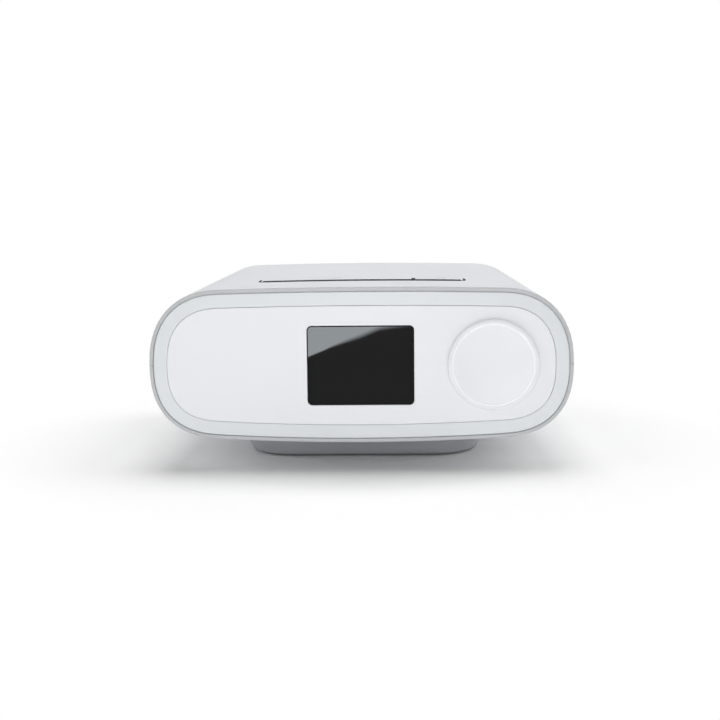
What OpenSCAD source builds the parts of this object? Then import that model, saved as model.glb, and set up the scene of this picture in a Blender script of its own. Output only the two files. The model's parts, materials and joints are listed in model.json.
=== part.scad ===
// Bilevel positive airway pressure machine: a table-top blower with a pill-shaped face,
// a display window, a press-and-turn dial and two keys in its crowned top cover.
// Millimetres. X runs across the face, Y runs back, Z up, and the face looks towards -Y.
// The origin is on the table, under the middle of the overall box.

/* [Overall size] */
// Width across the front rim
body_w = 193; // [188:1:200]
// Depth from the dial's lip to the rear cover
body_d = 157; // [153:1:166]
// Height from the table to the top of the rim
body_h = 84; // [82:1:88]
// Height of the front rim above the table
rim_lift = 13; // [12:0.5:14]

/* [Housing] */
// Length of each round end, from where the nearly flat top stops
end_l = 31.7; // [27:0.2:33]
// Drop of the crowned top where it meets the round ends
crown = 0.9; // [0.4:0.1:2]
// Rise of the bowed underside where it meets the round ends
belly = 1.7; // [0.8:0.1:2.2]
// Roundness of the ends above the middle: 2 is an ellipse, more is squarer
end_power = 2.3; // [2:0.05:2.6]
// Roundness of the ends below the middle
under_power = 2.5; // [2:0.05:2.6]
// How much narrower each side is at the rear
side_taper = 10.5; // [6:0.1:12]
// How much lower the top is at the rear, and higher the underside
height_taper = 0.5; // [0:0.1:1.5]
// Radius of the rounded rear edge
rear_round = 7; // [5:0.5:9]
// Thickness of the housing walls
wall = 2.4; // [2:0.1:2.8]
// Radius of the slight bow of the face, seen from above
face_r = 2000; // [1500:100:4000]
// Gap between separate covers
seam = 0.3; // [0.2:0.05:0.4]

/* [Face] */
// Visible width of the grey rim band
rim_band = 1.7; // [1.4:0.1:2.2]
// How far the face panel stands ahead of the rim
panel_lead = 0.5; // [0.2:0.1:1]
// Width of the silver-white bezel band
bezel_band = 6.6; // [5:0.1:8]
// Thickness of the face panel
panel_t = 2.2; // [1.8:0.1:2.6]
// Width of the display window
window_w = 48.6; // [44:0.2:52]
// Height of the display window
window_h = 36.4; // [32:0.2:40]
// Corner radius of the display window
window_r = 2.2; // [1:0.1:4]

/* [Dial] */
// Distance of the dial's axis from the right end of the rim
dial_edge = 36.5; // [34:0.5:39]
// Radius of the dial
dial_r = 20.6; // [18:0.1:22]
// How far the dial's lip stands ahead of the panel
dial_proud = 2.4; // [2:0.1:3.2]
// Width of the raised lip, measured along the radius
lip_w = 1.2; // [0.8:0.1:1.6]
// Depth of the dial's face behind its lip
dish_depth = 2; // [1.4:0.1:2.4]
// Radius of the encoder shaft
shaft_r = 3; // [2.5:0.1:3.5]
// Travel of the dial when it is pressed
dial_travel = 0.8; // [0.5:0.1:1]

/* [Keys] */
// Distance of the key slot behind the front of the rim
key_back = 33.5; // [30:0.5:38]
// Depth of the keys, front to back
key_d = 11; // [9:0.5:12]
// Width of the therapy key
therapy_w = 71.4; // [64:0.2:76]
// Width of the ramp key
ramp_w = 22.6; // [18:0.2:26]
// Width of the dark gasket round the keys
gasket_w = 1; // [0.8:0.1:1.4]
// How far the gasket's front lip stands above the cover
gasket_proud = 0.6; // [0.3:0.1:0.8]
// How far the keys stand above the cover
key_proud = 0.8; // [0.5:0.1:1.2]
// Travel of a pressed key
key_travel = 0.8; // [0.5:0.1:1]

/* [Base] */
// Width of the base
base_w = 116; // [108:1:120]
// How far the base is set back behind the rim
base_back = 27; // [24:1:30]
// How far the base is set back before the rear cover
base_rear = 22; // [20:1:28]
// Corner radius of the base, seen from above
base_r = 24; // [18:1:28]
// Height of the rubber feet below the base
foot_h = 0.8; // [0.8:0.1:1.4]
// Radius of a rubber foot
foot_r = 6; // [5:0.5:8]

/* [Side doors] */
// Length of the filter door
door_l = 52; // [48:1:56]
// Height of the filter door
door_h = 38; // [34:1:40]
// Place of the filter door's middle along the depth
door_y = 20; // [17:1:23]
// Radius of the door's hinge barrel
barrel_r = 2; // [1.8:0.1:2.4]
// Radius of the hinge pin
door_pin_r = 0.8; // [0.6:0.1:1]
// Number of inlet slots in the door
louvers = 7; // [5:1:8]
// Length of the accessory cover
hatch_l = 34; // [28:1:40]
// Height of the accessory cover
hatch_h = 26; // [20:1:30]

/* [Rear] */
// Outer radius of the air outlet port
port_r = 11; // [10:0.1:11.5]
// Bore radius of the air outlet port
port_bore = 9.2; // [8.5:0.1:9.5]
// Radius of the round pocket that the port stands in
pocket_r = 18; // [17:0.5:20]
// Depth of that pocket
pocket_d = 18; // [16:0.5:20]
// Distance of the port's axis from the right side of the rear
port_in = 60; // [59:0.5:63]
// Distance of the power jack from the left side of the rear
jack_in = 34; // [33:0.5:38]

/* [Blower] */
// Radius of the impeller
impeller_r = 22; // [20:0.5:23]
// Number of impeller blades
blades = 11; // [7:1:13]
// Least radius inside the volute
volute_r = 24; // [23.5:0.1:25]
// Growth of the volute's radius over one turn
volute_growth = 5; // [4:0.5:6]
// Height inside the volute
volute_h = 16; // [14:0.5:17]
// Radius of the motor shaft
rotor_r = 2; // [1.5:0.1:2.5]

/* [Fits] */
// Radial running clearance of shafts, pins and stems
run_fit = 0.05; // [0.03:0.01:0.08]
// Gap round a part that moves in an opening
move_gap = 0.35; // [0.3:0.05:0.5]
// Gap filled by glue or tape between curved parts
glue_gap = 0.15; // [0.1:0.01:0.2]

/* [Hidden] */

end_steps = 14;
flat_steps = 4;
arc_steps = 6;
quarter = end_steps + flat_steps;
eps = 0.01;

// Overall levels and planes
mid_z = (body_h + rim_lift) / 2;
half_w = body_w / 2;
half_h = (body_h - rim_lift) / 2;
flat_half = half_w - end_l;
dial_x = half_w - dial_edge;
port_x = half_w - side_taper - port_in;
port_z = mid_z + 1.5;
jack_x = side_taper + jack_in - half_w;
lip_y = -body_d / 2;
rear_y = body_d / 2;
face_y = lip_y + dial_proud - bow(dial_x);
rim_y = face_y + panel_lead;
rim_flange = 1.5;
shell_y = rim_y + rim_flange;
taper_l = rear_y - shell_y;

// Levels inside the housing
seat_z = rim_lift + 1.6;
deck_z = seat_z + wall;
boss_r = 3.4;
base_wall = 2.4;
base_y0 = rim_y + base_back;
base_y1 = rear_y - base_rear;
base_d = base_y1 - base_y0;
base_mid = (base_y0 + base_y1) / 2;

// Driving shapes of the housing

// How far the bowed face falls back at x
function bow(x) = face_r - sqrt(face_r * face_r - x * x);

// Share of the taper reached at depth y
function taper_at(y) = max(0, min(1, (y - shell_y) / taper_l));
function half_w_at(y) = half_w - side_taper * taper_at(y);
function flat_at(y) = flat_half * half_w_at(y) / half_w;
function half_h_at(y) = half_h - height_taper * taper_at(y);

// How far the outline falls short of its full height at x, above the middle or below it
function drop_at(x, side) = (side < 0 ? belly : crown) * (x / flat_half) ^ 2;

// Roundness of the ends, above the middle or below it
function power_at(side) = side < 0 ? under_power : end_power;

// Height of the housing's outside at x and y, over the nearly flat stretch
function roof_z(x, y) = mid_z + half_h_at(y) - drop_at(x, 1);
function floor_z(x, y) = mid_z - half_h_at(y) + drop_at(x, -1);

// A point of the round end, t from 0 at mid height to 90 where the flat top starts or -90 below
function end_point(t, hw, x0, hh) =
    let (u = 2 / power_at(t), x = x0 + (hw - x0) * abs(cos(t)) ^ u)
    [x, (hh - drop_at(x, t)) * sign(t) * abs(sin(t)) ^ u];

// The housing's outline at one depth, from mid right over the top to mid left and back below
function quadrant(hw, x0, hh, side) = concat(
    [for (i = [0:end_steps - 1]) end_point(side * 90 * i / end_steps, hw, x0, hh)],
    [for (i = [0:flat_steps]) let (x = x0 * (1 - i / flat_steps)) [x, side * (hh - drop_at(x, side))]]);
function outline(hw, x0, hh) =
    let (high = quadrant(hw, x0, hh, 1), low = quadrant(hw, x0, hh, -1))
    concat(
        high,
        [for (i = [quarter - 1:-1:0]) [-high[i].x, high[i].y]],
        [for (i = [1:quarter]) [-low[i].x, low[i].y]],
        [for (i = [quarter - 1:-1:1]) low[i]]);
function outline_at(y) = outline(half_w_at(y), flat_at(y), half_h_at(y));

// The same outline moved inwards by d along its own normals
function inset(points, d) =
    let (n = len(points))
    [for (i = [0:n - 1])
        let (step = points[(i + 1) % n] - points[(i + n - 1) % n])
        points[i] + d * [-step.y, step.x] / norm(step)];

// An outline set at depth y, bowed like the face by the given share
function loop_at(points, y, share = 0) = [for (p = points) [p.x, y + share * bow(p.x), p.y + mid_z]];

// A loop of the front outline, inset by d, at a depth behind the bowed face
function face_loop(d, depth) = loop_at(inset(outline_at(shell_y), d), face_y + depth, 1);

// A closed band through loops that run round its section: outside to the rear, inside back to the front
module band(rows) {
    n = len(rows[0]);
    m = len(rows);
    polyhedron(
        points = [for (row = rows) each row],
        faces = [for (k = [0:m - 1], j = [0:n - 1])
            let (a = k * n, b = ((k + 1) % m) * n, i = (j + 1) % n)
            [a + j, a + i, b + i, b + j]],
        convexity = 6);
}

// Half of such a band, from start half way round; its ends are lowered by gap and closed by the end faces
module half_band(rows, ends, start, gap = 0) {
    last = 2 * quarter;
    n = last + 1;
    m = len(rows);
    half = [for (row = rows, j = [0:last])
        let (p = row[(start + j) % len(row)])
        j == 0 || j == last ? [p.x, p.y, p.z - gap] : p];
    side = [for (k = [0:m - 1], j = [0:last - 1])
        let (a = k * n, b = ((k + 1) % m) * n)
        [a + j, a + j + 1, b + j + 1, b + j]];
    first_end = [for (end = ends) [for (k = end) k * n]];
    last_end = [for (end = ends) [for (i = [len(end) - 1:-1:0]) end[i] * n + last]];
    polyhedron(points = half, faces = concat(side, first_end, last_end), convexity = 6);
}

// A solid through outline loops from front to rear, closed at both ends by strips across the height
module plug(rows) {
    n = len(rows[0]);
    m = len(rows);
    rear = (m - 1) * n;
    side = [for (k = [0:m - 2], j = [0:n - 1])
        let (a = k * n, b = a + n, i = (j + 1) % n)
        [a + j, a + i, b + i, b + j]];
    ends = [for (j = [0:n / 2 - 1])
        let (up = j, up2 = j + 1, low = (n - j) % n, low2 = n - j - 1)
        each [strip([up, low, low2, up2], 0), strip([up2, low2, low, up], rear)]];
    polyhedron(points = [for (row = rows) each row], faces = concat(side, ends), convexity = 4);
}

// A cap strip, reduced to a triangle where the upper and the lower point are one
function strip(corners, offset) =
    let (n = len(corners))
    [for (i = [0:n - 1]) if (corners[i] != corners[(i + 1) % n]) corners[i] + offset];

// A rectangle with round corners, as points about its middle
function round_rect(w, h, r) = [for (corner = [0:3], i = [0:arc_steps])
    let (a = 90 * (corner + i / arc_steps), sx = [1, -1, -1, 1][corner], sy = [1, 1, -1, -1][corner])
    [sx * (w / 2 - r) + r * cos(a), sy * (h / 2 - r) + r * sin(a)]];

module round_plate(w, h, r, t) {
    linear_extrude(t) polygon(round_rect(w, h, r));
}

// A box between two corners
module block(low, high) {
    translate(low) cube(high - low);
}

// Turns an upright part so that its base looks along -Y from depth y
module facing_front(x, y, z) {
    translate([x, y, z]) rotate([90, 0, 0]) children();
}

// A cylinder that runs back from y0 to y1
module bar_y(x, z, r, y0, y1) {
    translate([x, y0, z]) rotate([-90, 0, 0]) cylinder(h = y1 - y0, r = r, $fn = 64);
}

// An upright cylinder between two heights
module post(x, y, r, z0, z1) {
    translate([x, y, z0]) cylinder(h = z1 - z0, r = r, $fn = 64);
}

// Housing

// Angles over which the rear edge is rounded
round_angles = [0, 18, 36, 54, 72, 90];
rear_rim = rear_round + 2;

function shell_row(y, d) = loop_at(inset(outline_at(y), d), y, 1 - taper_at(y));

// Half of the tapered shell, the upper one or the lower one
module shell(start, gap = 0) {
    y0 = shell_y;
    y1 = rear_y - rear_round;
    outside = concat(
        [for (y = [y0, y0 + (y1 - y0) / 2]) shell_row(y, 0)],
        [for (a = round_angles) shell_row(y1 + rear_round * sin(a), rear_round * (1 - cos(a)))],
        [shell_row(rear_y, rear_rim)]);
    inner_r = rear_round - wall;
    inside = concat(
        [shell_row(rear_y - wall, rear_rim)],
        [for (i = [len(round_angles) - 1:-1:0]) let (a = round_angles[i])
            shell_row(y1 + inner_r * sin(a), rear_round - inner_r * cos(a))],
        [for (y = [y0 + (y1 - y0) / 2, y0]) shell_row(y, wall)]);
    m = 2 * len(outside);
    strips = [for (k = [0:m / 2 - 2]) [k, k + 1, m - 2 - k, m - 1 - k]];
    half_band(concat(outside, inside), strips, start, gap);
}

// Openings of the two side doors, cut through both covers
module side_openings() {
    side_frame(door_y) block([door_in, -door_l / 2 - seam, axis_p.y - barrel_r - swing_gap],
        [half_w, door_l / 2 + seam, door_h / 2 + seam]);
    mirror([1, 0, 0]) side_frame(hatch_y) block([door_in, -hatch_l / 2 - seam, -hatch_h / 2 - seam],
        [half_w, hatch_l / 2 + seam, hatch_h / 2 + seam]);
}

boss_in = 9;
boss_x = base_w / 2 - boss_in;
boss_front = base_y0 + 2 * boss_in;
boss_rear = base_y1 - 2 * boss_in;
boss_places = [for (x = [-boss_x, boss_x], y = [boss_front, boss_rear]) [x, y]];
boss_z = foot_h + base_wall + 5;

module top_cover() {
    color("white") {
        difference() {
            shell(0);
            key_slot(gasket_w, mid_z);
            side_openings();
        }
        // Posts that the key board hangs from
        for (x = [keys_x0 + key_post_in, keys_x1 - key_post_in])
            post(x, key_post_y, key_post_r, key_board_z + key_board_t, roof_z(x, key_post_y) - wall / 2);
    }
}

module bottom_cover() {
    color("gainsboro")
    difference() {
        union() {
            difference() {
                shell(2 * quarter, seam);
                // Seat of the base
                translate([0, base_mid, 0])
                    round_plate(base_w + 2 * seam, base_d + 2 * seam, base_r, seat_z);
            }
            // Flat deck over the base, with the bosses that the case screws pull on
            translate([0, base_mid, seat_z]) round_plate(base_w, base_d, base_r, wall);
            for (p = boss_places) post(p.x, p.y, boss_r, boss_z, deck_z);
            // Standoffs of the main board
            for (p = standoffs) post(p.x, p.y, boss_r, seat_z, main_z);
            // Knuckles of the filter door's hinge
            side_frame(door_y) for (s = [-1, 1])
                translate([0, s * (door_l / 2 + seam + knuckle_l / 2), 0])
                    block([axis_p.x - barrel_r, -knuckle_l / 2, axis_p.y - barrel_r],
                        [knuckle_out, knuckle_l / 2, axis_p.y + barrel_r]);
        }
        side_openings();
        side_frame(door_y) door_axis(door_pin_r, door_l + 2 * pin_reach);
        for (p = boss_places) post(p.x, p.y, screw_r, boss_z - eps, screw_top);
    }
}

module rear_cover() {
    edge = inset(outline_at(rear_y), rear_rim + seam);
    color("white")
    difference() {
        union() {
            plug([loop_at(edge, rear_y - wall), loop_at(edge, rear_y)]);
            bar_y(port_x, port_z, pocket_r + wall_thin, rear_y - pocket_d, rear_y - wall);
        }
        bar_y(port_x, port_z, pocket_r, pocket_floor, rear_y + eps);
        bar_y(port_x, port_z, port_r, rear_y - pocket_d - eps, rear_y);
        translate([jack_x, rear_y, jack_z]) facing_rear_plate(jack_w, jack_h, jack_round, wall + eps);
        // Finger notch for taking the cover off
        translate([0, rear_y, mid_z + half_h_at(rear_y) - rear_rim - crown])
            rotate([90, 0, 0]) cylinder(h = 1.2, r = notch_r, $fn = 64);
    }
}

wall_thin = 1.6;
notch_r = 7;

// A rounded plate that starts at the rear face and runs forward by t
module facing_rear_plate(w, h, r, t) {
    translate([0, eps, 0]) rotate([90, 0, 0]) round_plate(w, h, r, t);
}

// Front rim, bezel and panel

spigot_in = wall + 0.5;
spigot_t = 1.3;
spigot_d = 7;
ledge = 0.8;
edge_r = 0.6;
rim_gap = 0.1;

// Section of the rim, as insets and depths: flange, spigot inside the covers, ledge under the bezel
rim_section = let (f = rim_y - face_y, back = f + rim_flange - rim_gap, ledge_y = f + ledge) [
    [edge_r, f], [edge_r * 0.3, f + edge_r * 0.3], [0, f + edge_r], [0, back], [spigot_in, back],
    [spigot_in, f + spigot_d], [spigot_in + spigot_t, f + spigot_d], [spigot_in + spigot_t, ledge_y],
    [rim_band, ledge_y], [rim_band, f]];
rim_ends = [[8, 9, 0, 1, 2, 3, 4], [4, 5, 6, 7, 8]];

// Half of the rim, the upper one or the lower one
module rim(start, gap = 0) {
    half_band([for (s = rim_section) face_loop(s.x, s.y)], rim_ends, start, gap);
}

module rim_upper() {
    color("silver") rim(0);
}

module rim_lower() {
    color("silver") rim(2 * quarter, rim_split);
}

rim_split = 0.15;
bezel_in = rim_band + 0.4;
panel_in = rim_band + bezel_band;
groove = 0.12;
bezel_drop = 0.12;
joint_round = 0.15;

module front_bezel() {
    front = rim_y - face_y + 0.1;
    lip = rim_y - face_y + ledge - glue_gap;
    step = spigot_in + spigot_t + 0.2;
    inner = panel_in - groove;
    section = [
        [bezel_in + 0.3, front],
        [bezel_in, front + 0.2],
        [bezel_in, lip],
        [step, lip],
        [step, panel_t],
        [inner, panel_t],
        [inner, bezel_drop + joint_round],
        [inner - joint_round, bezel_drop]];
    color("lightsteelblue") band([for (s = section) face_loop(s.x, s.y)]);
}

module front_panel() {
    color("white")
    difference() {
        plug([
            face_loop(panel_in + joint_round, 0),
            face_loop(panel_in, joint_round),
            face_loop(panel_in, panel_t)]);
        facing_front(0, face_y + panel_t * 2, mid_z)
            round_plate(window_w, window_h, window_r, panel_t * 3);
        bar_y(dial_x, mid_z, skirt_r + move_gap, face_y - panel_t, face_y + panel_t * 3);
    }
}

module display_window() {
    color("black")
    facing_front(0, face_y + panel_t, mid_z)
        round_plate(window_w - 2 * glue_gap, window_h - 2 * glue_gap, window_r - glue_gap,
            panel_t - window_set);
}

window_set = 0.05;
lcd_w = window_w + 7.4;
lcd_h = window_h + 9.6;
lcd_y0 = face_y + panel_t + seam;
frame_y1 = face_y + 7;
board_y = face_y + 15;
board_t = 1.6;
frame_in = spigot_in + spigot_t + 0.3;
dial_hole = dial_r + move_gap + 1.2;
post_end = half_w - 26.5;
post_near = lcd_w / 2 + 8;
post_up = half_h - 9.5;
frame_posts = [[-post_end, -14], [-post_end, 14], [-post_near, -post_up], [-post_near, post_up],
    [post_near, -post_up], [post_near, post_up]];

module lcd_module() {
    color("dimgray")
    translate([-lcd_w / 2, lcd_y0, mid_z - lcd_h / 2]) cube([lcd_w, frame_y1 - lcd_y0, lcd_h]);
}

module front_frame() {
    depth0 = panel_t + glue_gap;
    depth1 = frame_y1 - face_y;
    edge = inset(outline_at(shell_y), frame_in);
    color("lightgray")
    difference() {
        union() {
            plug([face_loop(frame_in, depth0), loop_at(edge, face_y + depth1)]);
            for (p = frame_posts) bar_y(p.x, mid_z + p.y, boss_r, face_y + depth1 - 1, board_y);
        }
        translate([-lcd_w / 2, face_y, mid_z - lcd_h / 2]) cube([lcd_w, depth1 * 2, lcd_h]);
        bar_y(dial_x, mid_z, dial_hole, face_y, board_y);
    }
}

module ui_board() {
    color("seagreen")
    facing_front(0, board_y + board_t, mid_z) round_plate(ui_w, ui_h, 3, board_t);
}

ui_w = 2 * (half_w - 21.5);
ui_h = 2 * (half_h - wall - 4);
flex_w = 14;
flex_t = 0.4;
flex_x = -24;
main_z = deck_z + 5;
main_t = 1.6;

// Flat cable from the front board's back down to the main board's front edge
module ribbon_cable() {
    y0 = board_y + board_t;
    y1 = main_y0 + 6;
    z0 = mid_z - ui_h / 2 + 9;
    z1 = main_z + main_t;
    color("orange")
    translate([flex_x - flex_w / 2, 0, 0]) rotate([90, 0, 90]) linear_extrude(flex_w) polygon([
        [y0, z0 + 5], [y0 + flex_t, z0 + 5], [y0 + flex_t, z0 + flex_t],
        [y1 - 3, z0 + flex_t], [y1 - 3 + flex_t, z0], [y1 - 3 + flex_t, z1 + flex_t], [y1, z1 + flex_t],
        [y1, z1], [y1 - 3, z1], [y1 - 3, z0], [y0, z0]]);
}

// Dial and its encoder

cap_r = dial_r - lip_w - 0.6;
cap_t = 1.2;
web_t = 1.8;
skirt_r = dial_r - 0.8;
skirt_d = 8;
skirt_t = 1.8;
brim_gap = 0.4;
brim_d = dial_proud - dial_travel - brim_gap - (bow(dial_x) - bow(dial_x - dial_r));
hub_r = 6;
hub_d = 1;
web_y = dish_depth + cap_t;
bead_r = 0.35;
bead_h = 0.45;

// Turns a revolve so that its Z runs forward from the dial's lip, and depth is negative
module dial_turned() {
    translate([dial_x, lip_y, mid_z]) rotate([90, 0, 0]) rotate_extrude($fn = 128) children();
}

module control_dial() {
    seat = cap_r + 0.05;
    dish_w = dial_r - lip_w * 0.4 - seat;
    color("white")
    difference() {
        // Hub, web, cap seat, dished inner wall, rounded lip, brim over the panel's hole, and skirt
        dial_turned() polygon([
            [0, -web_y - web_t - hub_d], [0, -web_y], [seat, -web_y], [seat, -dish_depth + bead_h],
            [seat + 0.18 * dish_w, -dish_depth * 0.7], [seat + 0.42 * dish_w, -dish_depth * 0.45],
            [seat + 0.72 * dish_w, -dish_depth * 0.18], [seat + dish_w, -0.04],
            [dial_r - lip_w * 0.25, 0], [dial_r - lip_w * 0.12, -0.06], [dial_r - 0.03, -0.22],
            [dial_r, -0.4], [dial_r, -brim_d + 0.12], [dial_r - 0.12, -brim_d], [skirt_r, -brim_d],
            [skirt_r, -skirt_d], [skirt_r - skirt_t, -skirt_d], [skirt_r - skirt_t, -web_y - web_t],
            [hub_r, -web_y - web_t], [hub_r, -web_y - web_t - hub_d]]);
        bar_y(dial_x, mid_z, shaft_r, lip_y + web_y - eps, lip_y + skirt_d);
    }
}

module dial_cap() {
    color("whitesmoke")
    dial_turned() polygon([
        [0, -web_y], [0, -dish_depth + 0.15], [cap_r * 0.6, -dish_depth + 0.08],
        [cap_r - 4 * bead_r, -dish_depth], [cap_r - 2 * bead_r, -dish_depth + 0.06],
        [cap_r - 1.2 * bead_r, -dish_depth + bead_h * 0.6], [cap_r - 0.5 * bead_r, -dish_depth + bead_h],
        [cap_r, -dish_depth + bead_h], [cap_r, -web_y]]);
}

encoder_w = 13;
encoder_d = 6;
encoder_y0 = board_y - encoder_d;
bush_r = 4.6;
bush_y0 = lip_y + web_y + web_t + hub_d + dial_travel + 0.3;
slider_w = 8;
slider_t = 1.4;
shaft_end = board_y - 3;

module encoder_body() {
    color("silver")
    difference() {
        block([dial_x - encoder_w / 2, encoder_y0, mid_z - encoder_w / 2],
            [dial_x + encoder_w / 2, board_y, mid_z + encoder_w / 2]);
        // Cavity of the slider, and the hole the shaft passes through
        block([dial_x - slider_w / 2 - move_gap, encoder_y0 + 1, mid_z - slider_w / 2 - move_gap],
            [dial_x + slider_w / 2 + move_gap, board_y - 1, mid_z + slider_w / 2 + move_gap]);
        bar_y(dial_x, mid_z, shaft_r + move_gap, encoder_y0 - eps, encoder_y0 + 2);
    }
}

module encoder_bush() {
    color("goldenrod")
    difference() {
        bar_y(dial_x, mid_z, bush_r, bush_y0, encoder_y0);
        bar_y(dial_x, mid_z, shaft_r + run_fit, bush_y0 - eps, encoder_y0 + eps);
    }
}

module encoder_shaft() {
    color("silver")
    bar_y(dial_x, mid_z, shaft_r, lip_y + web_y, shaft_end);
}

// Square slide that moves in and out with the shaft but doesn't turn
module push_slider() {
    y0 = encoder_y0 + 1 + 0.3;
    color("dimgray")
    difference() {
        block([dial_x - slider_w / 2, y0, mid_z - slider_w / 2],
            [dial_x + slider_w / 2, y0 + slider_t, mid_z + slider_w / 2]);
        bar_y(dial_x, mid_z, shaft_r + run_fit, y0 - eps, y0 + slider_t + eps);
    }
}

// Keys in the top cover

keys_w = therapy_w + ramp_w + gasket_w + 4 * move_gap;
keys_x0 = -keys_w / 2;
keys_x1 = keys_w / 2;
divider_x = keys_x0 + therapy_w + 2 * move_gap;
key_y0 = rim_y + key_back + gasket_w;
key_y1 = key_y0 + key_d + 2 * move_gap;
key_mid = (key_y0 + key_y1) / 2;
key_t = 2.6;
key_steps = 12;
key_round = 0.6;
key_corner = 2;
corner_steps = 4;
lip_in = gasket_w + 1.5;
key_post_r = 2.4;
key_post_in = 8;
key_post_y = key_y0 - gasket_w - key_post_r - 0.6;
key_board_t = 1.6;
key_board_z = body_h - 17;
switch_h = 4;
switch_w = 7;
stem_r = 1.6;
stem_z = key_board_z + key_board_t + switch_h - 2.4;
therapy_stems = [keys_x0 + 14, divider_x - 14];
ramp_stems = [(divider_x + gasket_w + keys_x1) / 2];

// A bar across X from y0 to y1, whose top follows the crowned cover at height lift over it
module crowned_bar(x0, x1, y0, y1, z0, lift) {
    y = (y0 + y1) / 2;
    top = [for (i = [key_steps:-1:0]) let (x = x0 + (x1 - x0) * i / key_steps) [x, roof_z(x, y) + lift]];
    translate([0, y1, 0]) rotate([90, 0, 0]) linear_extrude(y1 - y0)
        polygon(concat([[x0, z0], [x1, z0]], top));
}

// Section of a key at x: round upper edges, the whole top lowered by drop, both sides drawn in by tuck
function key_section(x, z0, drop, tuck = 0) =
    let (y0 = key_y0 + move_gap + tuck, y1 = key_y1 - move_gap - tuck, r = key_round,
        z = roof_z(x, key_mid) + key_proud - drop)
    concat([[x, y0, z0]],
        [for (a = [0, 45, 90]) [x, y0 + r * (1 - cos(a)), z - r * (1 - sin(a))]],
        [for (a = [90, 45, 0]) [x, y1 - r * (1 - cos(a)), z - r * (1 - sin(a))]],
        [[x, y1, z0]]);

// Sections of a key's end at x, from the end inwards to the right (way 1) or to the left (way -1);
// the corners seen from above have radius r
function key_end(x, z0, way, r) = [for (i = [0:corner_steps])
    let (a = 90 * i / corner_steps)
    key_section(x + way * (1 - cos(a)) * max(r, key_round), z0, key_round * (1 - sin(a)), r * (1 - sin(a)))];

// One key: a crowned cap with round edges all round and outer corners, on round stems
module key(x0, x1, stems, left, right) {
    z0 = roof_z(max(abs(x0), abs(x1)), key_y0) + key_proud - key_t;
    near = x0 + max(left, key_round);
    far = x1 - max(right, key_round);
    tail = key_end(x1, z0, -1, right);
    rail(concat(
        key_end(x0, z0, 1, left),
        [for (i = [1:key_steps - 1]) key_section(near + (far - near) * i / key_steps, z0, 0)],
        [for (i = [corner_steps:-1:0]) tail[i]]));
    for (x = stems) post(x, key_mid, stem_r, stem_z, z0 + key_t / 2);
}

// A solid through equal, outward-bulging sections from left to right, with flat ends
module rail(sections) {
    n = len(sections[0]);
    m = len(sections);
    side = [for (k = [0:m - 2], j = [0:n - 1])
        let (a = k * n, b = a + n, i = (j + 1) % n)
        [a + j, a + i, b + i, b + j]];
    left = [for (j = [n - 1:-1:0]) j];
    right = [for (j = [0:n - 1]) (m - 1) * n + j];
    polyhedron(points = [for (s = sections) each s], faces = concat(side, [left, right]), convexity = 4);
}

// Round-cornered space of both keys, grown by d, from z0 up
module key_slot(d, z0) {
    translate([0, key_mid, z0])
        round_plate(keys_w + 2 * d, key_y1 - key_y0 + 2 * d, key_corner + move_gap + d, body_h + wall - z0);
}

module therapy_button() {
    color("white") key(keys_x0 + move_gap, divider_x - move_gap, therapy_stems, key_corner, 0);
}

module ramp_button() {
    color("white") key(divider_x + gasket_w + move_gap, keys_x1 - move_gap, ramp_stems, 0, key_corner);
}

// Dark frame round the keys, with the bar between them and the raised lip in front of them
module button_gasket() {
    z0 = roof_z(keys_x1 + gasket_w, key_y0) - wall + 0.6;
    x0 = keys_x0 - gasket_w;
    x1 = keys_x1 + gasket_w;
    color("dimgray")
    difference() {
        intersection() {
            union() {
                crowned_bar(x0, x1, key_y0 - gasket_w, key_y1 + gasket_w, z0, 0.1);
                crowned_bar(x0 + lip_in, x1 - lip_in, key_y0 - gasket_w, key_y0, z0, gasket_proud);
            }
            key_slot(gasket_w, z0 - 1);
        }
        difference() {
            key_slot(0, z0 - 1);
            block([divider_x, key_y0 - 1, z0 - 2], [divider_x + gasket_w, key_y1 + 1, body_h + wall + 1]);
        }
    }
}

module button_board() {
    color("seagreen")
    block([keys_x0, key_post_y - key_post_r, key_board_z], [keys_x1, key_y1, key_board_z + key_board_t]);
}

module tact_switches() {
    z0 = key_board_z + key_board_t;
    color("dimgray")
    for (x = concat(therapy_stems, ramp_stems))
        difference() {
            block([x - switch_w / 2, key_mid - switch_w / 2, z0],
                [x + switch_w / 2, key_mid + switch_w / 2, z0 + switch_h]);
            post(x, key_mid, stem_r + run_fit, stem_z - key_travel - 0.4, z0 + switch_h + eps);
        }
}

// Base

screw_r = 1.5;
screw_top = seat_z + 0.4;
screw_head_r = 2.8;
screw_head_h = 2;
foot_recess = 0.5;
base_in = base_wall + 1.6;
foot_x = base_w / 2 - 17;
foot_y = base_d / 2 - 31;
foot_places = [for (x = [-foot_x, foot_x], y = [base_mid - foot_y, base_mid + foot_y]) [x, y]];

function base_row(z, d) = [for (p = round_rect(base_w - 2 * d, base_d - 2 * d, base_r - d))
    [p.x, p.y + base_mid, z]];

// A solid through equal loops from bottom to top, with flat ends
module stack(rows) {
    n = len(rows[0]);
    m = len(rows);
    side = [for (k = [0:m - 2], j = [0:n - 1])
        let (a = k * n, b = a + n, i = (j + 1) % n)
        [a + j, b + j, b + i, a + i]];
    bottom = [for (j = [0:n - 1]) j];
    top = [for (j = [n - 1:-1:0]) (m - 1) * n + j];
    polyhedron(points = [for (row = rows) each row], faces = concat(side, [bottom, top]), convexity = 4);
}

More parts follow.
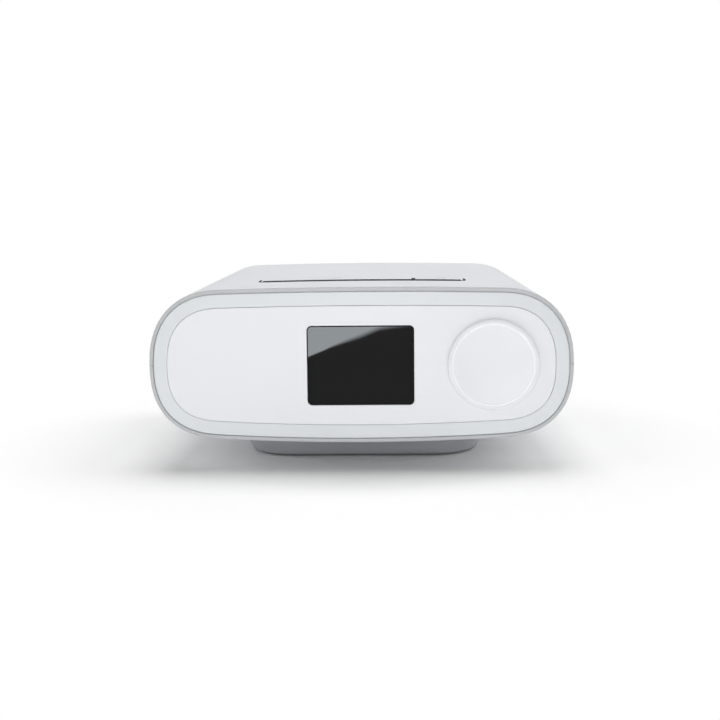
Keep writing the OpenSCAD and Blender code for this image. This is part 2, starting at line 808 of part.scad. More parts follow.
module base() {
    floor_top = foot_h + base_wall;
    color("darkgray")
    difference() {
        union() {
            difference() {
                stack([
                    base_row(foot_h, 4.6), base_row(foot_h + 0.4, 3.7), base_row(foot_h + 1.5, 2.7),
                    base_row(foot_h + 3.4, 1.8), base_row(foot_h + 6, 1), base_row(foot_h + 9, 0.4),
                    base_row(seat_z, 0)]);
                translate([0, base_mid, floor_top]) linear_extrude(seat_z)
                    polygon(round_rect(base_w - 2 * base_in, base_d - 2 * base_in, base_r - base_in));
            }
            for (p = boss_places) post(p.x, p.y, boss_r, floor_top - eps, boss_z);
            // Stiffening ribs under the deck
            for (x = [-1, 0, 1]) block([x * rib_pitch - rib_t / 2, base_y0 + base_in - 1, floor_top - eps],
                [x * rib_pitch + rib_t / 2, base_y1 - base_in + 1, seat_z - 2]);
        }
        for (p = boss_places) {
            post(p.x, p.y, screw_r, 0, boss_z + eps);
            post(p.x, p.y, screw_head_r + 0.2, 0, foot_h + screw_head_h + 0.4);
        }
        for (p = foot_places) post(p.x, p.y, foot_r, 0, foot_h + foot_recess);
    }
}

rib_pitch = 26;
rib_t = 1.6;

module feet() {
    color("dimgray")
    for (p = foot_places) post(p.x, p.y, foot_r, 0, foot_h + foot_recess);
}

module case_screws() {
    z0 = foot_h + 0.4;
    color("silver")
    for (p = boss_places) {
        post(p.x, p.y, screw_head_r, z0, foot_h + screw_head_h + 0.4);
        post(p.x, p.y, screw_r, foot_h + screw_head_h + 0.4, screw_top);
    }
}

// Side doors, in a frame that follows the tapered side: X outwards, Y along the side, Z from mid height

taper_deg = atan(side_taper / taper_l);
door_t = 2.2;
door_steps = 10;
pin_reach = 4;
knuckle_l = 5;
hatch_y = 10;

// The angles of the round end at height h under the middle and over it
function end_span(h, hh) =
    [for (side = [-1, 1]) side * asin((h / (hh - drop_at(half_w, side))) ^ (power_at(side) / 2))];

door_span = end_span(door_h / 2, half_h_at(door_y));
hatch_span = end_span(hatch_h / 2, half_h_at(hatch_y));
function side_point(a, y) = end_point(a, half_w_at(y), flat_at(y), half_h_at(y));
door_edge = side_point(door_span[0], door_y);
door_normal =
    let (s = side_point(door_span[0] + 2, door_y) - side_point(door_span[0] - 2, door_y))
    [s.y, -s.x] / norm(s);
axis_p = door_edge - door_normal * barrel_r;
door_in = door_edge.x - 8;
knuckle_out = axis_p.x + barrel_r * 0.4;
swing_gap = 0.7;

module side_frame(y) {
    translate([half_w_at(y), y, mid_z]) rotate([0, 0, taper_deg])
        translate([-half_w_at(y), 0, 0]) children();
}

// A piece of the round end, between two angles, of thickness t and length l
module side_skin(y, span, t, l) {
    outer = [for (i = [0:door_steps])
        side_point(span[0] + (span[1] - span[0]) * i / door_steps, y)];
    n = len(outer);
    inner = [for (i = [n - 1:-1:0])
        let (s = outer[min(n - 1, i + 1)] - outer[max(0, i - 1)])
        outer[i] - t * [s.y, -s.x] / norm(s)];
    translate([0, l / 2, 0]) rotate([90, 0, 0]) linear_extrude(l) polygon(concat(outer, inner));
}

// A bar on the door's hinge axis
module door_axis(r, l) {
    translate([axis_p.x, l / 2, axis_p.y]) rotate([90, 0, 0]) cylinder(h = l, r = r, $fn = 48);
}

module filter_door() {
    pitch = (door_h - 14) / (louvers - 1);
    color("white")
    side_frame(door_y) difference() {
        union() {
            side_skin(door_y, door_span, door_t, door_l);
            door_axis(barrel_r, door_l);
            // Snap tab at the upper edge
            block([door_edge.x - 3.4, -5, door_h / 2 - 5], [door_edge.x, 5, door_h / 2 - 3.4]);
        }
        for (i = [0:louvers - 1]) block([door_edge.x - 8, -door_l / 2 + 8, i * pitch - door_h / 2 + 7],
            [half_w + 1, door_l / 2 - 8, i * pitch - door_h / 2 + 8.6]);
        door_axis(door_pin_r + run_fit, door_l + 1);
        // Thumb notch
        translate([half_w_at(door_y) - 1, 0, door_h / 2]) sphere(r = 3.2, $fn = 48);
    }
}

module door_pin() {
    color("silver") side_frame(door_y) door_axis(door_pin_r, door_l + 2 * pin_reach);
}

module accessory_cover() {
    color("gainsboro")
    mirror([1, 0, 0]) side_frame(hatch_y) {
        side_skin(hatch_y, hatch_span, door_t, hatch_l);
        for (s = [-1, 1]) translate([0, s * (hatch_l / 2 - 5), 0])
            block([hatch_edge.x - 5, -3, -1.2], [side_point(0, hatch_y).x - door_t + 0.4, 3, 1.2]);
    }
}

hatch_edge = side_point(hatch_span[1], hatch_y);

// Air outlet

collar_r = port_r + 3.5;
collar_t = 2;
pocket_floor = rear_y - pocket_d + wall_thin;
port_y0 = rear_y - pocket_d - 2;
bellows_l = 5;
flow_l = 3.5;
flow_y0 = port_y0 - bellows_l - flow_l;
snout_r = 10;
snout_bore = 8;

module air_outlet_port() {
    color("white")
    difference() {
        union() {
            bar_y(port_x, port_z, port_r, port_y0, rear_y - 1);
            // Collar that the port is welded by to the pocket's floor
            bar_y(port_x, port_z, collar_r, pocket_floor, pocket_floor + collar_t);
        }
        bar_y(port_x, port_z, port_bore, port_y0 - eps, rear_y);
    }
}

// Soft coupling with two folds between the flow element and the port
module outlet_bellows() {
    fold = bellows_l / 4;
    color("lightgray")
    translate([port_x, port_y0, port_z]) rotate([90, 0, 0]) rotate_extrude($fn = 96) polygon([
        [snout_bore, 0], [snout_r + 1, 0], [snout_r + 3, fold], [snout_r + 1, 2 * fold],
        [snout_r + 3, 3 * fold], [snout_r + 1, 4 * fold], [snout_bore, 4 * fold],
        [snout_bore + 1.6, 3 * fold], [snout_bore, 2 * fold], [snout_bore + 1.6, fold]]);
}

// Ring with flow bars, and two barbs for the sensor tube
module flow_element() {
    bars = 4;
    color("ivory") {
        difference() {
            bar_y(port_x, port_z, snout_r, flow_y0, flow_y0 + flow_l);
            bar_y(port_x, port_z, snout_bore, flow_y0 - eps, flow_y0 + flow_l + eps);
        }
        for (i = [1:bars])
            let (x = snout_bore * (2 * i / (bars + 1) - 1), h = sqrt(snout_bore ^ 2 - x ^ 2))
            block([port_x + x - 0.3, flow_y0 + 1, port_z - h - 0.5],
                [port_x + x + 0.3, flow_y0 + 2.4, port_z + h + 0.5]);
        post(port_x, flow_y0 + flow_l / 2, barb_r, port_z + snout_r - 0.5, port_z + snout_r + 4);
    }
}

barb_r = 0.9;

// Air box round the blower

box_w = 72;
box_t = 2;
box_top = body_h - 10;
lid_t = 2.2;
volute_wall = 1.8;
off_centre = volute_growth / 4;
blower_x = port_x - (volute_r + volute_growth - snout_bore);
box_x0 = blower_x + off_centre - box_w / 2;
box_x1 = box_x0 + box_w;
box_y0 = key_y1 + 0.7;
box_y1 = flow_y0 - 1.6;
blower_y = (box_y0 + box_y1) / 2 + off_centre;

module air_box() {
    color("lightgray")
    difference() {
        block([box_x0, box_y0, deck_z], [box_x1, box_y1, box_top]);
        block([box_x0 + box_t, box_y0 + box_t, deck_z + box_t],
            [box_x1 - box_t, box_y1 - box_t, box_top + eps]);
        // Inlet window from the filters, and the outlet hole
        block([box_x1 - box_t - eps, duct_y0 + 2 * duct_t, duct_z0 + 2 * duct_t],
            [box_x1 + eps, duct_y1 - 2 * duct_t, duct_z1 - 2 * duct_t]);
        bar_y(port_x, port_z, snout_r + seam, box_y1 - box_t - eps, box_y1 + eps);
    }
}

module air_box_lid() {
    rib = 2;
    color("lightgray")
    difference() {
        union() {
            block([box_x0, box_y0, box_top], [box_x1, box_y1, box_top + lid_t]);
            block([box_x0 + box_t + seam, box_y0 + box_t + seam, box_top - rib],
                [box_x1 - box_t - seam, box_y1 - box_t - seam, box_top + eps]);
        }
        block([box_x0 + 2 * box_t + seam, box_y0 + 2 * box_t + seam, box_top - rib - eps],
            [box_x1 - 2 * box_t - seam, box_y1 - 2 * box_t - seam, box_top]);
    }
}

// Foam bed round the motor, with room for the isolators
module sound_foam() {
    z0 = deck_z + box_t;
    color("dimgray")
    difference() {
        block([box_x0 + box_t, box_y0 + box_t, z0],
            [box_x1 - box_t, box_y1 - box_t, cup_top - 2]);
        post(blower_x, blower_y, motor_cup_r + 1.5, z0 - eps, volute_z0);
        for (p = mount_places) post(p.x, p.y, isolator_r + 1.5, z0 - eps, volute_z0);
    }
}

// Filters and memory card, behind the filter door

duct_x0 = box_x1;
duct_x1 = door_edge.x - 4.6;
duct_y0 = door_y - door_l / 2 + 11;
duct_y1 = door_y + door_l / 2 - 3;
duct_z0 = mid_z - door_h / 2 + 3;
duct_z1 = mid_z + door_h / 2 - 4;
duct_t = 1.6;
filter_stop = duct_x1 - 9;
fine_t = 2.6;

module filter_frame() {
    color("silver")
    difference() {
        block([duct_x0, duct_y0, duct_z0], [duct_x1, duct_y1, duct_z1]);
        block([filter_stop, duct_y0 + duct_t, duct_z0 + duct_t],
            [duct_x1 + eps, duct_y1 - duct_t, duct_z1 - duct_t]);
        block([duct_x0 - eps, duct_y0 + 2 * duct_t, duct_z0 + 2 * duct_t],
            [filter_stop + eps, duct_y1 - 2 * duct_t, duct_z1 - 2 * duct_t]);
    }
}

module fine_filter() {
    pleats = 9;
    y0 = duct_y0 + duct_t;
    pitch = (duct_y1 - duct_y0 - 2 * duct_t) / pleats;
    front = [for (i = [0:pleats]) each [[filter_stop + 1, y0 + i * pitch], [filter_stop + fine_t,
        y0 + (i + 0.5) * pitch]]];
    color("ivory")
    translate([0, 0, duct_z0 + duct_t]) linear_extrude(duct_z1 - duct_z0 - 2 * duct_t)
        polygon(concat([[filter_stop, y0 + pleats * pitch], [filter_stop, y0]],
            [for (i = [0:2 * pleats]) front[i]]));
}

module pollen_filter() {
    color("slategray")
    block([filter_stop + fine_t, duct_y0 + duct_t, duct_z0 + duct_t],
        [duct_x1 - 0.4, duct_y1 - duct_t, duct_z1 - duct_t]);
}

card_w = 24;
card_t = 2.1;
card_l = 32;
card_travel = 1;
card_y = duct_y0 - 3.2;
card_x1 = duct_x1;
socket_l = 26;

// Memory card standing on edge, with its clipped corner
module sd_card() {
    color("darkslateblue")
    translate([0, card_y + card_t / 2, 0]) rotate([90, 0, 0]) linear_extrude(card_t)
        polygon([
            [card_x1 - card_l + 4, mid_z - card_w / 2], [card_x1, mid_z - card_w / 2],
            [card_x1, mid_z + card_w / 2], [card_x1 - card_l, mid_z + card_w / 2],
            [card_x1 - card_l, mid_z - card_w / 2 + 4]]);
}

module sd_socket() {
    slot = card_t / 2 + 0.3;
    color("silver")
    difference() {
        block([card_x1 - card_l - 3, card_y - slot - 0.8, mid_z - card_w / 2 - 1.6],
            [card_x1 - card_l - 3 + socket_l, duct_y0, mid_z + card_w / 2 + 1.6]);
        block([card_x1 - card_l - 0.3 - card_travel, card_y - slot, mid_z - card_w / 2 - 0.3],
            [card_x1, card_y + slot, mid_z + card_w / 2 + 0.3]);
    }
}

// Blower

isolator_r = 4;
isolator_h = 6;
mount_reach = volute_r + 4;
mount_places = [for (a = [45, 135, 225, 315])
    [blower_x + mount_reach * cos(a), blower_y + mount_reach * sin(a)]];
volute_floor = 2;
volute_z0 = port_z - volute_h / 2;
volute_z1 = port_z + volute_h / 2;
motor_cup_r = 17;
motor_t = 2;
motor_h = 16;
cup_top = volute_z0 - volute_floor;
motor_z0 = cup_top - motor_h;
bearing_r = 5;
bearing_h = 3;
motor_gap = 0.6;
spiral_steps = 48;

// The volute's spiral, grown by d outwards; it is widest where the snout leaves it
function spiral(d) = [for (i = [0:spiral_steps])
    let (a = 360 * i / spiral_steps, r = volute_r + volute_growth * i / spiral_steps + d)
    [r * cos(a), r * sin(a)]];

// Shell of the volute with its snout, from height z0 to z1, open inside
module volute_shell(z0, z1) {
    translate([blower_x, blower_y, z0]) linear_extrude(z1 - z0) polygon(spiral(volute_wall));
}

module volute_space(z0, z1) {
    translate([blower_x, blower_y, z0]) linear_extrude(z1 - z0) polygon(spiral(0));
}

module snout(r) {
    bar_y(port_x, port_z, r, blower_y, flow_y0);
}

// Outside of the snout, with the wall that closes the spiral's end round it
module snout_shell() {
    bar_y(port_x, port_z, snout_r, blower_y, flow_y0);
    block([blower_x + volute_r, blower_y, cup_top],
        [blower_x + volute_r + volute_growth + volute_wall, blower_y + 2, volute_z1 + volute_floor]);
}

// Feet on the volute that stand on the isolators
module mount_lugs() {
    z1 = deck_z + box_t + isolator_h;
    for (p = mount_places) post(p.x, p.y, isolator_r, z1, volute_z0);
}

module blower_base() {
    color("darkgray")
    difference() {
        union() {
            volute_shell(cup_top, port_z);
            intersection() {
                snout_shell();
                block([-body_w, -body_d, 0], [body_w, body_d, port_z]);
            }
            mount_lugs();
            post(blower_x, blower_y, motor_cup_r, motor_z0, volute_z0);
        }
        volute_space(volute_z0, port_z + eps);
        snout(snout_bore);
        // Motor space, upper bearing seat and shaft hole
        post(blower_x, blower_y, motor_cup_r - motor_t, motor_z0 - eps, cup_top - bearing_h);
        post(blower_x, blower_y, bearing_r, motor_z0, cup_top + eps);
        post(blower_x, blower_y, rotor_r + 1, motor_z0, volute_z0 + eps);
    }
}

module blower_top() {
    top = volute_z1 + volute_floor;
    color("darkgray")
    difference() {
        union() {
            volute_shell(port_z, top);
            intersection() {
                snout_shell();
                block([-body_w, -body_d, port_z], [body_w, body_d, body_h]);
            }
            // Bell mouth of the inlet
            post(blower_x, blower_y, inlet_r + 2, top - eps, top + 3);
        }
        volute_space(port_z - eps, volute_z1);
        snout(snout_bore);
        post(blower_x, blower_y, inlet_r, volute_z1 - eps, top + 4);
    }
}

inlet_r = 12;
hub_top = volute_z1 - 2;
plate_z = volute_z0 + 1.2;
plate_t = 1.4;
blade_t = 1;
blade_in = 10;
shroud_t = 1;
eye_r = 12.5;
blade_steps = 6;
blade_sweep = 48;

// Middle line of one backward-curved blade at radius r
function blade_point(u, side) =
    let (r = blade_in + (impeller_r - blade_in - 0.3) * u, a = -blade_sweep * u ^ 1.3)
    [r * cos(a) + side * blade_t / 2 * sin(a - 40), r * sin(a) - side * blade_t / 2 * cos(a - 40)];

module impeller() {
    blade_z0 = plate_z + plate_t;
    blade_z1 = hub_top - shroud_t;
    color("whitesmoke")
    translate([blower_x, blower_y, 0]) difference() {
        union() {
            translate([0, 0, plate_z]) cylinder(h = plate_t, r = impeller_r, $fn = 96);
            translate([0, 0, plate_z]) cylinder(h = blade_z1 - plate_z, r = 5, $fn = 64);
            for (i = [0:blades - 1]) rotate([0, 0, 360 * i / blades]) translate([0, 0, blade_z0 - eps])
                linear_extrude(blade_z1 - blade_z0 + 2 * eps) polygon(concat(
                    [for (k = [0:blade_steps]) blade_point(k / blade_steps, 1)],
                    [for (k = [blade_steps:-1:0]) blade_point(k / blade_steps, -1)]));
            difference() {
                translate([0, 0, blade_z1]) cylinder(h = shroud_t, r = impeller_r, $fn = 96);
                translate([0, 0, blade_z1 - eps]) cylinder(h = shroud_t + 2 * eps, r = eye_r, $fn = 96);
            }
        }
        translate([0, 0, plate_z - eps]) cylinder(h = hub_top, r = rotor_r, $fn = 64);
    }
}

rotor_z0 = motor_z0 + bearing_h + 2;
rotor_z1 = cup_top - bearing_h - 1;

module motor_stator() {
    teeth = 6;
    stator_in = 9;
    color("peru")
    translate([blower_x, blower_y, rotor_z0]) difference() {
        cylinder(h = rotor_z1 - rotor_z0, r = motor_cup_r - motor_t, $fn = 96);
        translate([0, 0, -eps]) cylinder(h = body_h, r = stator_in, $fn = 64);
        for (i = [0:teeth - 1]) rotate([0, 0, 360 * i / teeth])
            translate([stator_in - 1, -1.2, -eps]) cube([4.5, 2.4, body_h]);
    }
}

module motor_rotor() {
    color("dimgray")
    difference() {
        post(blower_x, blower_y, 8.4, rotor_z0, rotor_z1);
        post(blower_x, blower_y, rotor_r, rotor_z0 - eps, rotor_z1 + eps);
    }
}

module motor_shaft() {
    color("silver") post(blower_x, blower_y, rotor_r, motor_z0 + 1.4, hub_top - shroud_t);
}

module bearing(z0) {
    difference() {
        post(blower_x, blower_y, bearing_r, z0, z0 + bearing_h);
        post(blower_x, blower_y, rotor_r + run_fit, z0 - eps, z0 + bearing_h + eps);
    }
}

// The lower bearing sits in a plate that closes the motor cup
module lower_bearing() {
    color("silver") {
        bearing(motor_z0 + 1.2);
        difference() {
            post(blower_x, blower_y, motor_cup_r - motor_t, motor_z0, motor_z0 + 1.2);
            post(blower_x, blower_y, rotor_r + 1, motor_z0 - eps, motor_z0 + 1.2 + eps);
        }
    }
}

module upper_bearing() {
    color("silver") bearing(cup_top - bearing_h);
}

module isolators() {
    color("lightgray")
    for (p = mount_places) post(p.x, p.y, isolator_r, deck_z + box_t, deck_z + box_t + isolator_h);
}

// Electronics: the main board lies in front of the air box, the jack and the sensor behind it

main_w = 104;
main_y0 = board_y + board_t + 3;
main_y1 = box_y0 - 1.5;
main_mid = (main_y0 + main_y1) / 2;
main_top = main_z + main_t;
standoff_x = main_w / 2 - 5;
standoff_y = (main_y1 - main_y0) / 2 - 4.5;
standoffs = [for (x = [-standoff_x, standoff_x], y = [-standoff_y, standoff_y]) [x, main_mid + y]];

module main_board() {
    color("seagreen") block([-main_w / 2, main_y0, main_z], [main_w / 2, main_y1, main_top]);
}

// A package on the main board, w by d and h high, centred at x from the board's middle
module package(x, y, w, d, h) {
    block([x - w / 2, main_mid + y - d / 2, main_top], [x + w / 2, main_mid + y + d / 2, main_top + h]);
}

// Processor, memory, coil, connectors and a row of capacitors
module board_parts() {
    chip_w = 14;
    plug_w = 12;
    cap_r = 3.5;
    cap_h = 10;
    side_x = main_w * 0.16;
    plug_x = main_w * 0.27;
    caps_x = main_w * 0.33;
    color("black") {
        package(0, 0, chip_w, chip_w, 1.6);
        package(side_x, 3, 8, 11, 1.4);
        package(side_x, -7.5, 9, 6, 1.2);
        package(-side_x, 6, 10, 8, 5);
        package(-plug_x, 9, plug_w, 5, 6);
        for (i = [-1:1]) post(caps_x + 2.4 * cap_r * i, main_mid - 3, cap_r, main_top, main_top + cap_h);
    }
}

module speaker() {
    x = 13 - main_w / 2;
    magnet_r = 5;
    color("dimgray") {
        post(x, main_mid - 1, 8, main_top, main_top + 3);
        post(x, main_mid - 1, magnet_r, main_top + 3 - eps, main_top + 5);
    }
}

jack_w = 14;
jack_h = 12;
jack_l = 16;
jack_round = 2;
jack_bore = 3.2;
jack_z = deck_z + 17.1;

module power_jack() {
    y0 = rear_y - jack_l;
    color("dimgray")
    difference() {
        union() {
            block([jack_x - jack_w / 2 + seam, y0, jack_z - jack_h / 2 + seam],
                [jack_x + jack_w / 2 - seam, rear_y - 0.5, jack_z + jack_h / 2 - seam]);
            // Foot on the floor of the housing
            block([jack_x - 2, y0, floor_z(jack_x, y0) + wall], [jack_x + 2, y0 + 7, jack_z]);
        }
        bar_y(jack_x, jack_z, jack_bore, y0 + 3, rear_y);
    }
}

sensor_x = box_x0 - 14;
sensor_y = flow_y0 + flow_l / 2;
sensor_h = 6;

module pressure_sensor() {
    color("ivory") {
        block([sensor_x - 4, sensor_y - 4, deck_z], [sensor_x + 4, sensor_y + 5, deck_z + sensor_h]);
        post(sensor_x, sensor_y, barb_r, deck_z + sensor_h - eps, deck_z + sensor_h + 4);
    }
}

// Silicone tube from the flow element over to the sensor, as straight runs with round elbows
module sensor_tube() {
    r = 1.7;
    y = flow_y0 + flow_l / 2;
    top = port_z + snout_r + 9;
    low = deck_z + sensor_h + 0.2;
    from = port_z + snout_r + 0.3;
    color("lightgray")
    difference() {
        union() {
            post(port_x, y, r, from, top);
            translate([port_x, y, top]) sphere(r = r, $fn = 32);
            translate([sensor_x, y, top]) rotate([0, 90, 0])
                cylinder(h = port_x - sensor_x, r = r, $fn = 32);
            translate([sensor_x, y, top]) sphere(r = r, $fn = 32);
            post(sensor_x, y, r, low, top);
        }
        post(port_x, y, barb_r, from - eps, from + 4);
        post(sensor_x, y, barb_r, low - eps, low + 4);
    }
}

// Upright socket that an accessory module plugs into, behind its cover
module accessory_connector() {
    connector_in = 20;
    x = connector_in - side_point(0, hatch_y).x;
    color("black") block([x, hatch_y - 9, deck_z + 2], [x + 4, hatch_y + 9, mid_z + 4]);
}

top_cover();
bottom_cover();
rear_cover();
rim_upper();
rim_lower();
front_bezel();
front_panel();
display_window();
lcd_module();
front_frame();
ui_board();
ribbon_cable();
control_dial();
dial_cap();
encoder_body();
encoder_bush();
encoder_shaft();
push_slider();
therapy_button();
ramp_button();
button_gasket();
button_board();
tact_switches();
base();
feet();
case_screws();
filter_door();
door_pin();
filter_frame();
pollen_filter();
fine_filter();
sd_card();
sd_socket();
accessory_cover();
accessory_connector();
air_outlet_port();
outlet_bellows();
flow_element();
air_box();
air_box_lid();
sound_foam();
blower_base();
blower_top();
impeller();
motor_stator();
motor_rotor();
motor_shaft();
lower_bearing();
upper_bearing();
isolators();
main_board();
board_parts();
power_jack();
pressure_sensor();
sensor_tube();
speaker();
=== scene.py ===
"""Studio picture of a bilevel positive airway pressure machine.

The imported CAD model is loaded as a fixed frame. This script gives every node its finish, models
the glass, dial, foams, card and screws anew in their places, adds the small pieces that the solids
leave out, and sets up the camera and a plain studio. All lengths are metres, in the frame of the
CAD model: X runs across the face, Y back, Z up.
"""

from __future__ import annotations

import json
import logging
import math
import sys
from collections.abc import Callable, Iterator, Sequence
from contextlib import contextmanager
from dataclasses import dataclass, field
from enum import Enum

import bmesh
import bpy
from mathutils import Matrix, Vector

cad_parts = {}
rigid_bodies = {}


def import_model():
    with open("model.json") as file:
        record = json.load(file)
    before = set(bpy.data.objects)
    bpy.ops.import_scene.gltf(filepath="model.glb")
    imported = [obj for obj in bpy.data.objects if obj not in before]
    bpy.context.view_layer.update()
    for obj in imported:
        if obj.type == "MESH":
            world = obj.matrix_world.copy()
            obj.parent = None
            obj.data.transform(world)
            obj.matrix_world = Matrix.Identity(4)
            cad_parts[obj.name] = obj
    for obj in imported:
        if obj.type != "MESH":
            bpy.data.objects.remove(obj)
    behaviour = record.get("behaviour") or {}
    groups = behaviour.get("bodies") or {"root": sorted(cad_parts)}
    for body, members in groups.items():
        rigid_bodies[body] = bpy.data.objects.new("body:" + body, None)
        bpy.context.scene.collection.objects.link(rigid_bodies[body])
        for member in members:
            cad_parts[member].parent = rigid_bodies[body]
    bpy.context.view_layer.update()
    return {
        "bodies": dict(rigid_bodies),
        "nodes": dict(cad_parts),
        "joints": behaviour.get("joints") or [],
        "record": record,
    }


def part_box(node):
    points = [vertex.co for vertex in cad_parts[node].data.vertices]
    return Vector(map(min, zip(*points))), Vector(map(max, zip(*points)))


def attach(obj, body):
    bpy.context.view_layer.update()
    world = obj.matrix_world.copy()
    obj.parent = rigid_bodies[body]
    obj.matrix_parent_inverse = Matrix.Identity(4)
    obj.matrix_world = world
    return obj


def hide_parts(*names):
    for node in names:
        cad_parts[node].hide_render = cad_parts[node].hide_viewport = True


LOG = logging.getLogger("pap_machine")
MM = 0.001
INK = "mark_grey"
Colour = tuple[float, float, float]
Point = tuple[float, float, float]
Pair = tuple[float, float]
MODEL: dict[str, object] = {}


class Body(Enum):
    """Bodies of the mechanism that the modelled pieces ride on."""

    HOUSING = "housing"
    DOOR = "door"
    CARD = "memory_card"
    DIAL = "dial"
    THERAPY = "therapy_key"
    RAMP = "ramp_key"


class Grain(Enum):
    """Surface of a mould: size of its pits in metres, and their depth in metres."""

    POLISHED = (3.0 * MM, 0.0015 * MM)
    SATIN = (0.55 * MM, 0.006 * MM)
    SPARK = (0.45 * MM, 0.03 * MM)

    @property
    def pit(self) -> float:
        """Size of one pit."""
        return self.value[0]

    @property
    def depth(self) -> float:
        """Depth of the pits."""
        return self.value[1]


class Cut(Enum):
    """How a metal part was worked."""

    DRAWN = "drawn"
    TURNED = "turned"


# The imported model


def joint_named(name: str) -> dict[str, object]:
    """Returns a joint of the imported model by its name."""
    return next(joint for joint in MODEL["joints"] if joint["name"] == name)


def mount_named(name: str) -> dict[str, object]:
    """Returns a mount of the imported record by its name."""
    return next(mount for mount in MODEL["record"]["mounts"] if mount["name"] == name)


def centre(node: str) -> Point:
    """Returns the middle of a CAD node's box."""
    return tuple((low + high) / 2 for low, high in zip(*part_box(node)))


# Node building


class Sheet:
    """Adds and links the nodes of one material or node group."""

    def __init__(self, tree: bpy.types.NodeTree) -> None:
        """Keeps the tree.

        Args:
            tree: Node tree that nodes are added to.
        """
        self.tree = tree

    def add(self, kind: str, **values: object) -> bpy.types.Node:
        """Adds a node and sets its properties.

        Args:
            kind: Type name of the node without its ShaderNode prefix.
            values: Properties of the node.

        Returns:
            The new node.
        """
        node = self.tree.nodes.new("ShaderNode" + kind)
        for name, value in values.items():
            setattr(node, name, value)
        return node

    def put(self, socket: bpy.types.NodeSocket, value: object) -> None:
        """Links an input to an output, or sets its constant.

        Args:
            socket: Input socket.
            value: Output socket or constant.
        """
        if isinstance(value, bpy.types.NodeSocket):
            self.tree.links.new(value, socket)
        elif isinstance(value, tuple) and len(value) == 3 and socket.type == "RGBA":
            socket.default_value = (*value, 1.0)
        else:
            socket.default_value = value

    def feed(self, node: bpy.types.Node, **sockets: object) -> bpy.types.Node:
        """Sets or links the inputs of a node by their names, with spaces as underscores.

        Args:
            node: Node whose inputs are fed.
            sockets: Constants, or output sockets to link.

        Returns:
            The same node.
        """
        for name, value in sockets.items():
            self.put(node.inputs[name.replace("_", " ")], value)
        return node

    def math(self, operation: str, first: object, second: object = 0.0) -> bpy.types.NodeSocket:
        """Adds a Math node.

        Args:
            operation: Name of the operation.
            first: First value or socket.
            second: Second value or socket.

        Returns:
            The result's socket.
        """
        node = self.add("Math", operation=operation)
        self.put(node.inputs[0], first)
        self.put(node.inputs[1], second)
        return node.outputs[0]

    def span(
        self, value: bpy.types.NodeSocket, source: Pair, target: Pair = (0.0, 1.0)
    ) -> bpy.types.NodeSocket:
        """Maps a value from one range to another, clamped.

        Args:
            value: Socket with the value.
            source: Range that the value has.
            target: Range that it gets.

        Returns:
            The mapped value's socket.
        """
        node = self.add("MapRange", clamp=True)
        self.feed(node, Value=value, From_Min=source[0], From_Max=source[1])
        self.feed(node, To_Min=target[0], To_Max=target[1])
        return node.outputs[0]

    def mix(self, factor: object, first: object, second: object) -> bpy.types.NodeSocket:
        """Mixes two colours.

        Args:
            factor: Share of the second colour.
            first: First colour or socket.
            second: Second colour or socket.

        Returns:
            The mixed colour's socket.
        """
        node = self.add("Mix", data_type="RGBA")
        for index, value in ((0, factor), (6, first), (7, second)):
            self.put(node.inputs[index], value)
        return node.outputs[2]

    def noise(
        self, place: bpy.types.NodeSocket, scale: object, detail: float = 2.0, **sockets: object
    ) -> bpy.types.NodeSocket:
        """Adds a Noise Texture.

        Args:
            place: Coordinates.
            scale: Scale or its socket.
            detail: Number of finer layers.
            sockets: Further inputs.

        Returns:
            The value's socket.
        """
        node = self.add("TexNoise")
        return self.feed(node, Vector=place, Scale=scale, Detail=detail, **sockets).outputs["Fac"]

    def stretch(
        self, place: bpy.types.NodeSocket, scale: Point, turn: Point = (0.0, 0.0, 0.0)
    ) -> bpy.types.NodeSocket:
        """Turns and stretches coordinates.

        Args:
            place: Coordinates.
            scale: Factor along each axis.
            turn: Rotation in radians.

        Returns:
            The new coordinates' socket.
        """
        return self.feed(self.add("Mapping"), Vector=place, Rotation=turn, Scale=scale).outputs[0]

    def bump(
        self, height: bpy.types.NodeSocket, distance: float = 1.0, **sockets: object
    ) -> bpy.types.NodeSocket:
        """Adds a Bump node.

        Args:
            height: Socket with the height.
            distance: Length that a height of 1 stands for.
            sockets: Further inputs.

        Returns:
            The normal's socket.
        """
        return self.feed(self.add("Bump"), Height=height, Distance=distance, **sockets).outputs[0]


